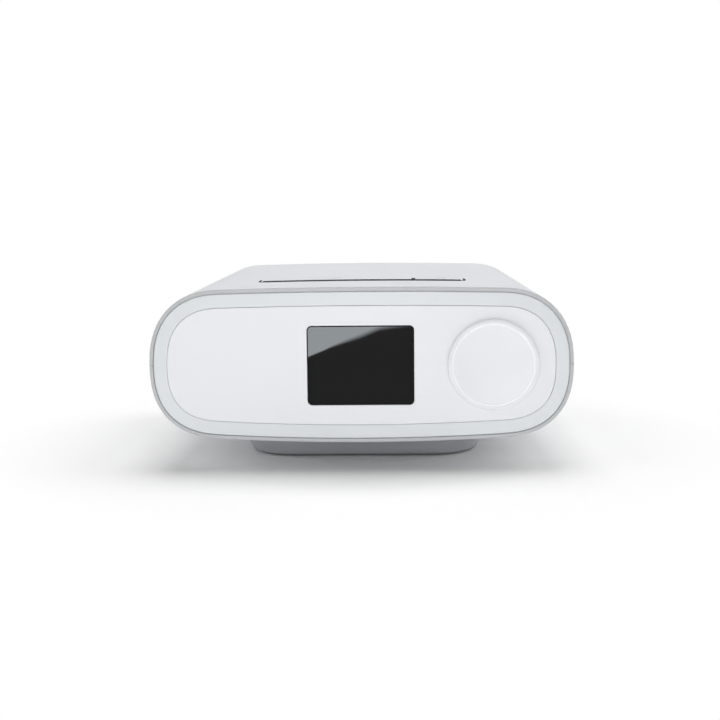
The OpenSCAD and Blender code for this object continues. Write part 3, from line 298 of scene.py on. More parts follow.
class Effects:
    """Shader node groups that several finishes share, each built once."""

    def __init__(self) -> None:
        """Starts with no group built."""
        self.built: dict[str, bpy.types.ShaderNodeTree] = {}

    def open(
        self, name: str, inputs: dict[str, str], outputs: dict[str, str]
    ) -> tuple[Sheet, bpy.types.bpy_prop_collection, bpy.types.Node]:
        """Makes an empty group with its sockets.

        Args:
            name: Name of the group.
            inputs: Names of the inputs and their socket types.
            outputs: Names of the outputs and their socket types.

        Returns:
            The group's sheet, the sockets that it is given, and its output node.
        """
        tree = bpy.data.node_groups.new(name, "ShaderNodeTree")
        for way, sockets in (("INPUT", inputs), ("OUTPUT", outputs)):
            for label, kind in sockets.items():
                tree.interface.new_socket(label, in_out=way, socket_type="NodeSocket" + kind)
        self.built[name] = tree
        return Sheet(tree), tree.nodes.new("NodeGroupInput").outputs, tree.nodes.new("NodeGroupOutput")

    def place(self, sheet: Sheet, name: str, **sockets: object) -> bpy.types.Node:
        """Puts a group into a material, and builds it first where it is new.

        Args:
            sheet: Sheet of the material.
            name: Name of the group, which is also its builder's.
            sockets: Values of the group's inputs.

        Returns:
            The group node.
        """
        if name not in self.built:
            getattr(self, name)()
        node = sheet.add("Group", node_tree=self.built[name])
        return sheet.feed(node, **sockets)

    def moulded_grain(self) -> None:
        """Fine pits and flow of a mould's surface, as a height."""
        sheet, given, end = self.open(
            "moulded_grain", {"Place": "Vector", "Pit": "Float", "Depth": "Float"}, {"Height": "Float"}
        )
        scale = sheet.math("DIVIDE", 1.0, given["Pit"])
        pits = sheet.add("TexVoronoi", feature="SMOOTH_F1")
        sheet.feed(pits, Vector=given["Place"], Scale=scale, Smoothness=0.6)
        flow = sheet.noise(given["Place"], sheet.math("MULTIPLY", scale, 0.6), 3.0, Roughness=0.6)
        both = sheet.math("ADD", pits.outputs["Distance"], flow)
        sheet.feed(end, Height=sheet.math("MULTIPLY", both, given["Depth"]))

    def tone_drift(self) -> None:
        """Slow drift of a colour over a moulded part."""
        sheet, given, end = self.open(
            "tone_drift", {"Place": "Vector", "Base": "Color", "Spread": "Float"}, {"Colour": "Color"}
        )
        swing = sheet.span(sheet.noise(given["Place"], 21.0), (0.3, 0.7), (-1.0, 1.0))
        value = sheet.math("ADD", sheet.math("MULTIPLY", swing, given["Spread"]), 1.0)
        shade = sheet.feed(sheet.add("HueSaturation"), Value=value, Color=given["Base"])
        sheet.feed(end, Colour=shade.outputs["Color"])

    def handling(self) -> None:
        """Fine wipe marks and smudges that change how rough a surface is."""
        sheet, given, end = self.open(
            "handling", {"Place": "Vector", "Rough": "Float", "Marks": "Float"}, {"Roughness": "Float"}
        )
        streaked = sheet.stretch(given["Place"], (1.0, 14.0, 14.0), (0.3, 0.5, 0.6))
        wipes = sheet.span(sheet.noise(streaked, 90.0, 4.0, Roughness=0.7), (0.45, 0.75), (0.0, 0.5))
        smudges = sheet.span(sheet.noise(given["Place"], 38.0, 3.0, Roughness=0.6), (0.4, 0.7))
        marks = sheet.math("MULTIPLY", sheet.math("ADD", wipes, smudges), given["Marks"])
        sheet.feed(end, Roughness=sheet.math("ADD", given["Rough"], marks))

    def dust(self) -> None:
        """Sparse pale specks of dust, as a colour over the part's own."""
        sheet, given, end = self.open(
            "dust", {"Place": "Vector", "Base": "Color", "Amount": "Float"}, {"Colour": "Color"}
        )
        specks = sheet.span(sheet.noise(given["Place"], 1400.0, 1.0), (0.72, 0.8))
        mask = sheet.math("MULTIPLY", specks, given["Amount"])
        sheet.feed(end, Colour=sheet.mix(mask, given["Base"], (0.72, 0.71, 0.69)))

    def ring_mask(self) -> None:
        """A mask that is 1 between two radii round an axis along Y."""
        sheet, given, end = self.open(
            "ring_mask",
            {"Place": "Vector", "Centre": "Vector", "Inner": "Float", "Outer": "Float"},
            {"Mask": "Float"},
        )
        flat = sheet.add("VectorMath", operation="MULTIPLY")
        sheet.put(flat.inputs[0], given["Place"])
        sheet.put(flat.inputs[1], (1.0, 0.0, 1.0))
        reach = sheet.add("VectorMath", operation="DISTANCE")
        sheet.put(reach.inputs[0], flat.outputs[0])
        sheet.put(reach.inputs[1], given["Centre"])
        radius, soft = reach.outputs["Value"], 0.12 * MM
        rise = sheet.math("DIVIDE", sheet.math("SUBTRACT", radius, given["Inner"]), soft)
        fall = sheet.math("DIVIDE", sheet.math("SUBTRACT", given["Outer"], radius), soft)
        sheet.feed(end, Mask=sheet.span(sheet.math("MINIMUM", rise, fall), (0.0, 1.0)))

    def open_cells(self) -> None:
        """Open cells of foam: a height, and a mask that is 1 in the pores."""
        sheet, given, end = self.open(
            "open_cells", {"Place": "Vector", "Cell": "Float"}, {"Height": "Float", "Pore": "Float"}
        )
        cells = sheet.add("TexVoronoi", feature="F1")
        sheet.feed(cells, Vector=given["Place"], Scale=sheet.math("DIVIDE", 1.0, given["Cell"]))
        distance = cells.outputs["Distance"]
        sheet.feed(end, Height=sheet.math("MULTIPLY", distance, given["Cell"]))
        sheet.feed(end, Pore=sheet.span(distance, (0.2, 0.55), (1.0, 0.0)))


# Finishes


def open_material(name: str) -> tuple[bpy.types.Material, Sheet, bpy.types.Node, bpy.types.NodeSocket]:
    """Makes a material with its shader and the object's own coordinates.

    Args:
        name: Name of the material.

    Returns:
        The material, its sheet, its Principled BSDF and the Object coordinates.
    """
    material = bpy.data.materials.new(name)
    material.use_nodes = True
    sheet = Sheet(material.node_tree)
    shader = next(n for n in sheet.tree.nodes if n.type == "BSDF_PRINCIPLED")
    return material, sheet, shader, sheet.add("TexCoord").outputs["Object"]


@dataclass(frozen=True)
class PaintedHighlightRing:
    """Ring of painted highlight round an axis along Y: a lighter colour that stands in for the light caught
    by the dial's bead.

    Attributes:
        centre: Point of the axis, with no depth.
        inner: Inner radius.
        outer: Outer radius.
        colour: Linear colour of the painted highlight.
    """

    centre: Point
    inner: float
    outer: float
    colour: Colour


@dataclass(frozen=True)
class MouldedPlastic:
    """Injection-moulded plastic.

    Attributes:
        name: Name of the material slot.
        colour: Linear colour.
        rough: Roughness of its smoothest places.
        grain: Surface of the mould.
        marks: How far handling raises the roughness.
        drift: Share by which the colour drifts over the part.
        edge: Radius of its softened edges.
        specular: Specular level.
        dusty: Amount of dust.
        painted_highlight: Ring of painted highlight over the part, if any.
    """

    name: str
    colour: Colour
    rough: float = 0.35
    grain: Grain = Grain.SATIN
    marks: float = 0.05
    drift: float = 0.008
    edge: float = 0.2 * MM
    specular: float = 0.5
    dusty: float = 0.0
    painted_highlight: PaintedHighlightRing | None = None

    def build(self, effects: Effects) -> bpy.types.Material:
        """Builds the material.

        Args:
            effects: Shared node groups.

        Returns:
            The material.
        """
        material, sheet, shader, place = open_material(self.name)
        tone = effects.place(sheet, "tone_drift", Place=place, Base=self.colour, Spread=self.drift)
        colour = tone.outputs["Colour"]
        if self.dusty:
            colour = effects.place(sheet, "dust", Place=place, Base=colour, Amount=self.dusty).outputs[0]
        # Paints a lighter ring over the dial's bead as a painted highlight, standing in for the light the
        # bead catches.
        if self.painted_highlight:
            ring = self.painted_highlight
            mask = effects.place(
                sheet, "ring_mask", Place=place, Centre=ring.centre, Inner=ring.inner, Outer=ring.outer
            )
            colour = sheet.mix(mask.outputs["Mask"], colour, ring.colour)
        rough = effects.place(sheet, "handling", Place=place, Rough=self.rough, Marks=self.marks)
        grain = effects.place(
            sheet, "moulded_grain", Place=place, Pit=self.grain.pit, Depth=self.grain.depth
        )
        corner = sheet.feed(sheet.add("Bevel", samples=4), Radius=self.edge)
        normal = sheet.bump(grain.outputs["Height"], Normal=corner.outputs[0])
        sheet.feed(shader, Base_Color=colour, Roughness=rough.outputs["Roughness"])
        sheet.feed(shader, Normal=normal, Specular_IOR_Level=self.specular)
        return material


@dataclass(frozen=True)
class DisplayGlass:
    """Smoked glass over a display that is off, with its darker printed border.

    Attributes:
        name: Name of the material slot.
        inner: Colour over the picture area.
        border: Colour of the printed border.
        view_w: Width of the picture area.
        view_h: Height of the picture area.
        middle: Height of the display's middle.
        specular: Specular level, low for a coated glass.
    """

    name: str
    inner: Colour
    border: Colour
    view_w: float
    view_h: float
    middle: float
    specular: float = 0.15

    def build(self, effects: Effects) -> bpy.types.Material:
        """Builds the material.

        Args:
            effects: Shared node groups.

        Returns:
            The material.
        """
        material, sheet, shader, place = open_material(self.name)
        axes = sheet.feed(sheet.add("SeparateXYZ"), Vector=place)
        across = sheet.math("DIVIDE", sheet.math("ABSOLUTE", axes.outputs["X"]), self.view_w / 2)
        up = sheet.math("SUBTRACT", axes.outputs["Z"], self.middle)
        upright = sheet.math("DIVIDE", sheet.math("ABSOLUTE", up), self.view_h / 2)
        reach = sheet.math("MAXIMUM", across, upright)
        colour = sheet.mix(sheet.span(reach, (0.995, 1.0)), self.inner, self.border)
        rough = effects.place(sheet, "handling", Place=place, Rough=0.015, Marks=0.01)
        sheet.feed(shader, Base_Color=colour, Roughness=rough.outputs["Roughness"], IOR=1.5)
        sheet.feed(shader, Specular_IOR_Level=self.specular)
        return material


@dataclass(frozen=True)
class WorkedMetal:
    """Metal with the marks of its making.

    Attributes:
        name: Name of the material slot.
        colour: Linear colour.
        rough: Roughness.
        cut: How it was worked.
    """

    name: str
    colour: Colour
    rough: float = 0.28
    cut: Cut = Cut.DRAWN

    def build(self, effects: Effects) -> bpy.types.Material:
        """Builds the material.

        Args:
            effects: Shared node groups.

        Returns:
            The material.
        """
        material, sheet, shader, place = open_material(self.name)
        along = (1.0, 40.0, 40.0) if self.cut is Cut.DRAWN else (30.0, 2.0, 30.0)
        lines = sheet.noise(sheet.stretch(place, along), 60.0, 3.0)
        tone = effects.place(sheet, "tone_drift", Place=place, Base=self.colour, Spread=0.03)
        rough = sheet.span(lines, (0.3, 0.7), (self.rough, self.rough + 0.14))
        sheet.feed(shader, Base_Color=tone.outputs["Colour"], Metallic=1.0)
        sheet.feed(shader, Roughness=rough, Normal=sheet.bump(lines, 0.01 * MM))
        return material


@dataclass(frozen=True)
class SoftRubber:
    """Rubber or silicone with a dry, slightly dusty skin.

    Attributes:
        name: Name of the material slot.
        colour: Linear colour.
        rough: Roughness.
        cloudy: Subsurface weight, for silicone.
        dusty: Amount of dust.
    """

    name: str
    colour: Colour
    rough: float = 0.62
    cloudy: float = 0.0
    dusty: float = 0.15

    def build(self, effects: Effects) -> bpy.types.Material:
        """Builds the material.

        Args:
            effects: Shared node groups.

        Returns:
            The material.
        """
        material, sheet, shader, place = open_material(self.name)
        tone = effects.place(sheet, "tone_drift", Place=place, Base=self.colour, Spread=0.04)
        powder = effects.place(sheet, "dust", Place=place, Base=tone.outputs[0], Amount=self.dusty)
        rough = effects.place(sheet, "handling", Place=place, Rough=self.rough, Marks=0.12)
        grain = effects.place(sheet, "moulded_grain", Place=place, Pit=0.3 * MM, Depth=0.015 * MM)
        sheet.feed(shader, Base_Color=powder.outputs["Colour"], Roughness=rough.outputs["Roughness"])
        sheet.feed(shader, Subsurface_Weight=self.cloudy, Subsurface_Scale=2.0 * MM)
        sheet.feed(shader, Normal=sheet.bump(grain.outputs["Height"]))
        return material


@dataclass(frozen=True)
class CellFoam:
    """Open-celled foam of a filter or a damping pad.

    Attributes:
        name: Name of the material slot.
        colour: Linear colour of the webs.
        painted_pore_shade: Painted shade in the pores, a dark linear colour that stands in for the shade
            inside the open cells.
        cell: Size of a cell.
    """

    name: str
    colour: Colour
    painted_pore_shade: Colour
    cell: float = 0.7 * MM

    def build(self, effects: Effects) -> bpy.types.Material:
        """Builds the material.

        Args:
            effects: Shared node groups.

        Returns:
            The material.
        """
        material, sheet, shader, place = open_material(self.name)
        cells = effects.place(sheet, "open_cells", Place=place, Cell=self.cell)
        tone = effects.place(sheet, "tone_drift", Place=place, Base=self.colour, Spread=0.05)
        # The pores get a darker colour: painted shade inside the open cells.
        colour = sheet.mix(cells.outputs["Pore"], tone.outputs["Colour"], self.painted_pore_shade)
        rough = effects.place(sheet, "handling", Place=place, Rough=0.9, Marks=0.05)
        sheet.feed(shader, Base_Color=colour, Roughness=rough.outputs["Roughness"])
        sheet.feed(shader, Normal=sheet.bump(cells.outputs["Height"]), Sheen_Weight=0.2, Sheen_Roughness=0.5)
        return material


@dataclass(frozen=True)
class FilterPaper:
    """Pleated paper with short fibres.

    Attributes:
        name: Name of the material slot.
        colour: Linear colour.
        fibre: Linear colour of the darker fibres.
    """

    name: str
    colour: Colour
    fibre: Colour

    def build(self, effects: Effects) -> bpy.types.Material:
        """Builds the material.

        Args:
            effects: Shared node groups.

        Returns:
            The material.
        """
        material, sheet, shader, place = open_material(self.name)
        matted = sheet.stretch(place, (1.0, 7.0, 3.0), (0.4, 0.2, 0.9))
        fibres = sheet.noise(matted, 420.0, 3.0, Distortion=0.6)
        tone = effects.place(sheet, "tone_drift", Place=place, Base=self.colour, Spread=0.02)
        colour = sheet.mix(sheet.span(fibres, (0.55, 0.75), (0.0, 0.5)), tone.outputs["Colour"], self.fibre)
        sheet.feed(shader, Base_Color=colour, Roughness=0.85, Normal=sheet.bump(fibres, 0.05 * MM))
        return material


@dataclass(frozen=True)
class SolderMask:
    """Circuit board or flat cable with copper traces under its lacquer.

    Attributes:
        name: Name of the material slot.
        colour: Linear colour of the bare lacquer.
        trace: Linear colour over a trace.
        pitch: Spacing of the traces.
        rough: Roughness.
    """

    name: str
    colour: Colour
    trace: Colour
    pitch: float = 2.2 * MM
    rough: float = 0.3

    def build(self, effects: Effects) -> bpy.types.Material:
        """Builds the material.

        Args:
            effects: Shared node groups.

        Returns:
            The material.
        """
        material, sheet, shader, place = open_material(self.name)
        rows = sheet.add("TexBrick", offset=0.37, squash=1.4, squash_frequency=3)
        sheet.feed(rows, Vector=place, Scale=1.0, Mortar_Size=0.22 * self.pitch, Mortar_Smooth=0.1)
        sheet.feed(rows, Brick_Width=5.0 * self.pitch, Row_Height=self.pitch)
        tone = effects.place(sheet, "tone_drift", Place=place, Base=self.colour, Spread=0.04)
        colour = sheet.mix(rows.outputs["Fac"], tone.outputs["Colour"], self.trace)
        rough = effects.place(sheet, "handling", Place=place, Rough=self.rough, Marks=0.08)
        sheet.feed(shader, Base_Color=colour, Roughness=rough.outputs["Roughness"])
        sheet.feed(shader, Normal=sheet.bump(rows.outputs["Fac"], 0.03 * MM))
        return material


Finish = (
    MouldedPlastic | DisplayGlass | WorkedMetal | SoftRubber | CellFoam | FilterPaper | SolderMask
)


def plain_white(value: float) -> Colour:
    """Returns the slightly cool white of the housing at a linear level."""
    return (value * 0.985, value, value * 1.035)


@dataclass
class FinishBook:
    """The finish of every material slot, and the dressing of the CAD nodes.

    Attributes:
        nodes: CAD nodes by name.
        slots: Material slot of each node.
        middle: Height of the display's middle.
        dial: Point of the dial's axis, with no depth.
        effects: Shared node groups.
        built: Materials by slot.
    """

    nodes: dict[str, bpy.types.Object]
    slots: dict[str, str]
    middle: float
    dial: Point
    effects: Effects = field(default_factory=Effects)
    built: dict[str, bpy.types.Material] = field(default_factory=dict)

    def finishes(self) -> tuple[Finish, ...]:
        """Returns the finish of each slot."""
        # Painted highlight: a lighter ring over the dial's bead between these radii, standing in for the
        # light on it.
        bead = PaintedHighlightRing(self.dial, 18.0 * MM, 19.1 * MM, plain_white(0.95))
        return (
            MouldedPlastic("shell_white", plain_white(0.8), 0.38, Grain.SATIN),
            MouldedPlastic("shell_grey", plain_white(0.6), 0.5, Grain.SPARK, 0.08, dusty=0.05),
            MouldedPlastic("rim_grey", (0.505, 0.515, 0.53), 0.32, Grain.SATIN),
            MouldedPlastic("bezel_silver", (0.725, 0.755, 0.775), 0.32, Grain.POLISHED, 0.015, specular=0.4),
            MouldedPlastic("panel_white", plain_white(0.815), 0.3, Grain.POLISHED, 0.05),
            DisplayGlass(
                "window_dark", (0.0035, 0.0035, 0.0037), (0.0015, 0.0015, 0.0016),
                43.6 * MM, 32.4 * MM, self.middle,
            ),
            MouldedPlastic("dial_white", plain_white(0.815), 0.3, Grain.POLISHED, 0.03, painted_highlight=bead),
            MouldedPlastic("key_white", plain_white(0.8), 0.36, Grain.SATIN),
            SoftRubber("gasket_rubber", (0.035, 0.035, 0.038), dusty=0.08),
            MouldedPlastic("base_grey", (0.35, 0.367, 0.385), 0.42, Grain.SPARK, 0.08, 0.02, dusty=0.04),
            SoftRubber("foot_rubber", (0.03, 0.03, 0.032)),
            MouldedPlastic("port_white", plain_white(0.78), 0.3, Grain.POLISHED, 0.05),
            MouldedPlastic("frame_grey", (0.45, 0.46, 0.47), 0.45, Grain.SATIN, 0.08, 0.015),
            SolderMask("circuit_board", (0.006, 0.075, 0.035), (0.012, 0.13, 0.055)),
            SolderMask("flex_film", (0.42, 0.16, 0.02), (0.55, 0.25, 0.05), 1.0 * MM),
            WorkedMetal("steel", (0.58, 0.58, 0.6)),
            WorkedMetal("aluminium", (0.75, 0.76, 0.77), 0.24, Cut.TURNED),
            WorkedMetal("brass", (0.75, 0.55, 0.24), 0.22, Cut.TURNED),
            WorkedMetal("copper", (0.72, 0.33, 0.16), 0.35),
            MouldedPlastic("dark_plastic", (0.018, 0.018, 0.02), 0.42, Grain.SATIN, 0.1, 0.03, dusty=0.06),
            MouldedPlastic("chip_black", (0.012, 0.012, 0.013), 0.5, Grain.SPARK, 0.1, 0.03),
            MouldedPlastic("card_plastic", (0.02, 0.03, 0.08), 0.4, Grain.SPARK, 0.08, 0.02),
            CellFoam("filter_foam", (0.11, 0.115, 0.13), (0.015, 0.015, 0.018)),
            FilterPaper("filter_paper", (0.78, 0.77, 0.7), (0.5, 0.48, 0.42)),
            SoftRubber("silicone", (0.66, 0.66, 0.65), 0.4, 0.25, 0.05),
            CellFoam("acoustic_foam", (0.05, 0.05, 0.055), (0.008, 0.008, 0.009), 1.2 * MM),
            MouldedPlastic("blower_plastic", (0.24, 0.25, 0.27), 0.45, Grain.SPARK, 0.08, 0.03),
            MouldedPlastic("impeller_plastic", (0.68, 0.66, 0.6), 0.35, Grain.POLISHED, 0.06, 0.02),
            MouldedPlastic(INK, (0.42, 0.43, 0.45), 0.5, Grain.SATIN, 0.02),
        )

    def dress(self) -> None:
        """Builds every finish and gives each CAD node its own."""
        for finish in self.finishes():
            self.built[finish.name] = finish.build(self.effects)
        for name, node in self.nodes.items():
            for socket in node.material_slots:
                socket.material = self.built[self.slots[name]]
            LOG.info("node %s: %s", name, self.slots[name])


@dataclass
class SoftShading:
    """Smooth shading for the CAD nodes that are made of flat facets.

    Attributes:
        nodes: CAD nodes by name.
        angle: Edges that turn by less than this are shaded as one surface.
        names: Nodes that are smoothed.
    """

    nodes: dict[str, bpy.types.Object]
    angle: float = math.radians(32)
    names: tuple[str, ...] = (
        "top_cover", "bottom_cover", "rear_cover", "rim_upper", "rim_lower", "front_bezel",
        "front_panel", "front_frame", "base", "therapy_button", "ramp_button", "filter_door",
        "accessory_cover",
    )

    def tree(self) -> bpy.types.GeometryNodeTree:
        """Builds the modifier's nodes.

        Returns:
            A node tree that merges loose facets and marks only real corners as sharp.
        """
        tree = bpy.data.node_groups.new("soft_shading", "GeometryNodeTree")
        tree.interface.new_socket("Mesh", in_out="INPUT", socket_type="NodeSocketGeometry")
        tree.interface.new_socket("Mesh", in_out="OUTPUT", socket_type="NodeSocketGeometry")
        start, end = tree.nodes.new("NodeGroupInput"), tree.nodes.new("NodeGroupOutput")
        merge = tree.nodes.new("GeometryNodeMergeByDistance")
        merge.inputs["Distance"].default_value = 0.001 * MM
        turn = tree.nodes.new("GeometryNodeInputMeshEdgeAngle")
        sharp = tree.nodes.new("FunctionNodeCompare")
        sharp.operation = "GREATER_THAN"
        sharp.inputs[1].default_value = self.angle
        shade = tree.nodes.new("GeometryNodeSetMeshNormal")
        shade.inputs["Remove Custom"].default_value = True
        shade.inputs["Face Sharpness"].default_value = False
        links = tree.links
        links.new(start.outputs[0], merge.inputs["Geometry"])
        links.new(merge.outputs[0], shade.inputs["Mesh"])
        links.new(turn.outputs["Unsigned Angle"], sharp.inputs[0])
        links.new(sharp.outputs[0], shade.inputs["Edge Sharpness"])
        links.new(shade.outputs[0], end.inputs[0])
        return tree

    def apply(self) -> None:
        """Adds the modifiers to each faceted node."""
        tree = self.tree()
        for name in self.names:
            node = self.nodes[name]
            smooth = node.modifiers.new("soft_shading", "NODES")
            smooth.node_group = tree
            weigh = node.modifiers.new("flat_faces_first", "WEIGHTED_NORMAL")
            weigh.keep_sharp = True
            weigh.weight = 80
            LOG.info("smoothed %s", name)


# Modelling


class Workbench:
    """Helpers that add a primitive, shape it as by hand, and finish it."""

    def __init__(self, book: FinishBook) -> None:
        """Keeps the finishes.

        Args:
            book: Finishes by slot.
        """
        self.book = book

    def clear(self) -> None:
        """Deselects everything."""
        bpy.ops.object.select_all(action="DESELECT")

    def hold(self, piece: bpy.types.Object) -> None:
        """Selects a piece alone and makes it the active one.

        Args:
            piece: Piece to work on.
        """
        self.clear()
        bpy.context.view_layer.objects.active = piece
        piece.select_set(True)

    def settle(self, name: str) -> bpy.types.Object:
        """Names the new primitive and moves its place into its mesh.

        Args:
            name: Name of the piece.

        Returns:
            The piece.
        """
        piece = bpy.context.active_object
        piece.name = piece.data.name = name
        bpy.ops.object.transform_apply(location=True, rotation=True, scale=True)
        return piece

    def slab(self, name: str, low: Sequence[float], high: Sequence[float]) -> bpy.types.Object:
        """Adds a box between two corners.

        Args:
            name: Name of the piece.
            low: Lowest corner.
            high: Highest corner.

        Returns:
            The piece.
        """
        self.clear()
        middle = [(a + b) / 2 for a, b in zip(low, high)]
        size = [b - a for a, b in zip(low, high)]
        bpy.ops.mesh.primitive_cube_add(size=1.0, location=middle, scale=size)
        return self.settle(name)

    def turning(
        self, name: str, foot: Sequence[float], radius: float, depth: float, axis: str = "Z", sides: int = 48
    ) -> bpy.types.Object:
        """Adds a cylinder that stands on a point.

        Args:
            name: Name of the piece.
            foot: Middle of its lower or front end.
            radius: Radius.
            depth: Length along the axis.
            axis: Y or Z.
            sides: Number of sides.

        Returns:
            The piece.
        """
        self.clear()
        turn = (-math.pi / 2, 0.0, 0.0) if axis == "Y" else (0.0, 0.0, 0.0)
        step = Vector((0.0, depth / 2, 0.0) if axis == "Y" else (0.0, 0.0, depth / 2))
        bpy.ops.mesh.primitive_cylinder_add(
            vertices=sides, radius=radius, depth=depth, location=Vector(foot) + step, rotation=turn
        )
        return self.settle(name)

    @contextmanager
    def editing(
        self, piece: bpy.types.Object, mode: str = "FACE", whole: bool = False
    ) -> Iterator[None]:
        """Opens a piece in edit mode.

        Args:
            piece: Piece to shape.
            mode: VERT, EDGE or FACE.
            whole: Whether all of it is selected, or nothing.

        Yields:
            Nothing.
        """
        self.hold(piece)
        bpy.ops.object.mode_set(mode="EDIT")
        bpy.ops.mesh.select_mode(type=mode)
        bpy.ops.mesh.select_all(action="SELECT" if whole else "DESELECT")
        yield
        bpy.ops.object.mode_set(mode="OBJECT")

    def pick_faces(self, piece: bpy.types.Object, wanted: Callable[[Vector, Vector], bool]) -> None:
        """Selects faces by their middle and normal.

        Args:
            piece: Piece in edit mode.
            wanted: Test of a face's middle and normal.
        """
        mesh = bmesh.from_edit_mesh(piece.data)
        for face in mesh.faces:
            face.select_set(wanted(face.calc_center_median(), face.normal))
        bmesh.update_edit_mesh(piece.data)

    def pick_edges(self, piece: bpy.types.Object, wanted: Callable[[Vector, Vector], bool]) -> None:
        """Selects edges by their middle and direction.

        Args:
            piece: Piece in edit mode.
            wanted: Test of an edge's middle and its unit direction.
        """
        mesh = bmesh.from_edit_mesh(piece.data)
        for edge in mesh.edges:
            first, last = (v.co for v in edge.verts)
            edge.select_set(wanted((first + last) / 2, (last - first).normalized()))
        bmesh.update_edit_mesh(piece.data)

    def round_edges(
        self,
        piece: bpy.types.Object,
        wanted: Callable[[Vector, Vector], bool],
        width: float,
        segments: int = 4,
    ) -> None:
        """Bevels some edges of a piece.

        Args:
            piece: Piece to shape.
            wanted: Test of an edge's middle and its unit direction.
            width: Width of the bevel.
            segments: Number of its facets.
        """
        with self.editing(piece, "EDGE"):
            self.pick_edges(piece, wanted)
            bpy.ops.mesh.bevel(offset=width, segments=segments, affect="EDGES")

    def modify(self, piece: bpy.types.Object, kind: str, **values: object) -> None:
        """Adds a modifier and applies it.

        Args:
            piece: Piece to change.
            kind: Type of the modifier.
            values: Properties of the modifier.
        """
        self.hold(piece)
        change = piece.modifiers.new(kind.lower(), kind)
        for name, value in values.items():
            setattr(change, name, value)
        bpy.ops.object.modifier_apply(modifier=change.name)

    def copy(self, piece: bpy.types.Object, name: str, shift: Sequence[float]) -> bpy.types.Object:
        """Copies a piece with its own mesh, moved within the mesh.

        Args:
            piece: Piece to copy.
            name: Name of the copy.
            shift: How far it is moved.

        Returns:
            The copy.
        """
        twin = piece.copy()
        twin.data = piece.data.copy()
        twin.name = twin.data.name = name
        bpy.context.scene.collection.objects.link(twin)
        twin.data.transform(Matrix.Translation(Vector(shift)))
        return twin

    def join(self, name: str, pieces: Sequence[bpy.types.Object]) -> bpy.types.Object:
        """Joins pieces into one.

        Args:
            name: Name of the result.
            pieces: Pieces to join.

        Returns:
            The joined piece.
        """
        self.clear()
        for piece in pieces:
            piece.select_set(True)
        bpy.context.view_layer.objects.active = pieces[0]
        bpy.ops.object.join()
        pieces[0].name = pieces[0].data.name = name
        return pieces[0]

    def finish(
        self, piece: bpy.types.Object, slot: str, body: Body, angle: float = 40.0, replaces: str = ""
    ) -> bpy.types.Object:
        """Turns the faces outwards, shades, dresses and mounts a piece.

        Args:
            piece: Finished piece.
            slot: Material slot.
            body: Body it rides on.
            angle: Smoothing angle in degrees.
            replaces: CAD node that it stands for, if any.

        Returns:
            The piece.
        """
        with self.editing(piece, whole=True):
            bpy.ops.mesh.normals_make_consistent(inside=False)
        bpy.ops.object.shade_smooth_by_angle(angle=math.radians(angle))
        piece.data.materials.clear()
        piece.data.materials.append(self.book.built[slot])
        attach(piece, body.value)
        if replaces:
            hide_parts(replaces)
        LOG.info("piece %s: %d faces, %s on %s", piece.name, len(piece.data.polygons), slot, body.value)
        return piece


@dataclass
class DisplayPane:
    """Glass of the display, with a rounded outline and a fine ground edge.

    Attributes:
        bench: Modelling helpers.
        corner: Radius of its corners.
        ground: Width of the ground edge.
    """

    bench: Workbench
    corner: float = 2.05 * MM
    ground: float = 0.4 * MM

    def build(self) -> bpy.types.Object:
        """Builds the pane.

        Returns:
            The pane, which stands for the CAD window.
        """
        low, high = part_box("display_window")
        pane = self.bench.slab("display_pane", low, high)
        front = low[1] + self.ground / 2
        self.bench.round_edges(pane, lambda middle, way: abs(way.y) > 0.9, self.corner, 8)
        self.bench.round_edges(pane, lambda middle, way: middle.y < front, self.ground, 2)
        return self.bench.finish(pane, "window_dark", Body.HOUSING, 20.0, "display_window")


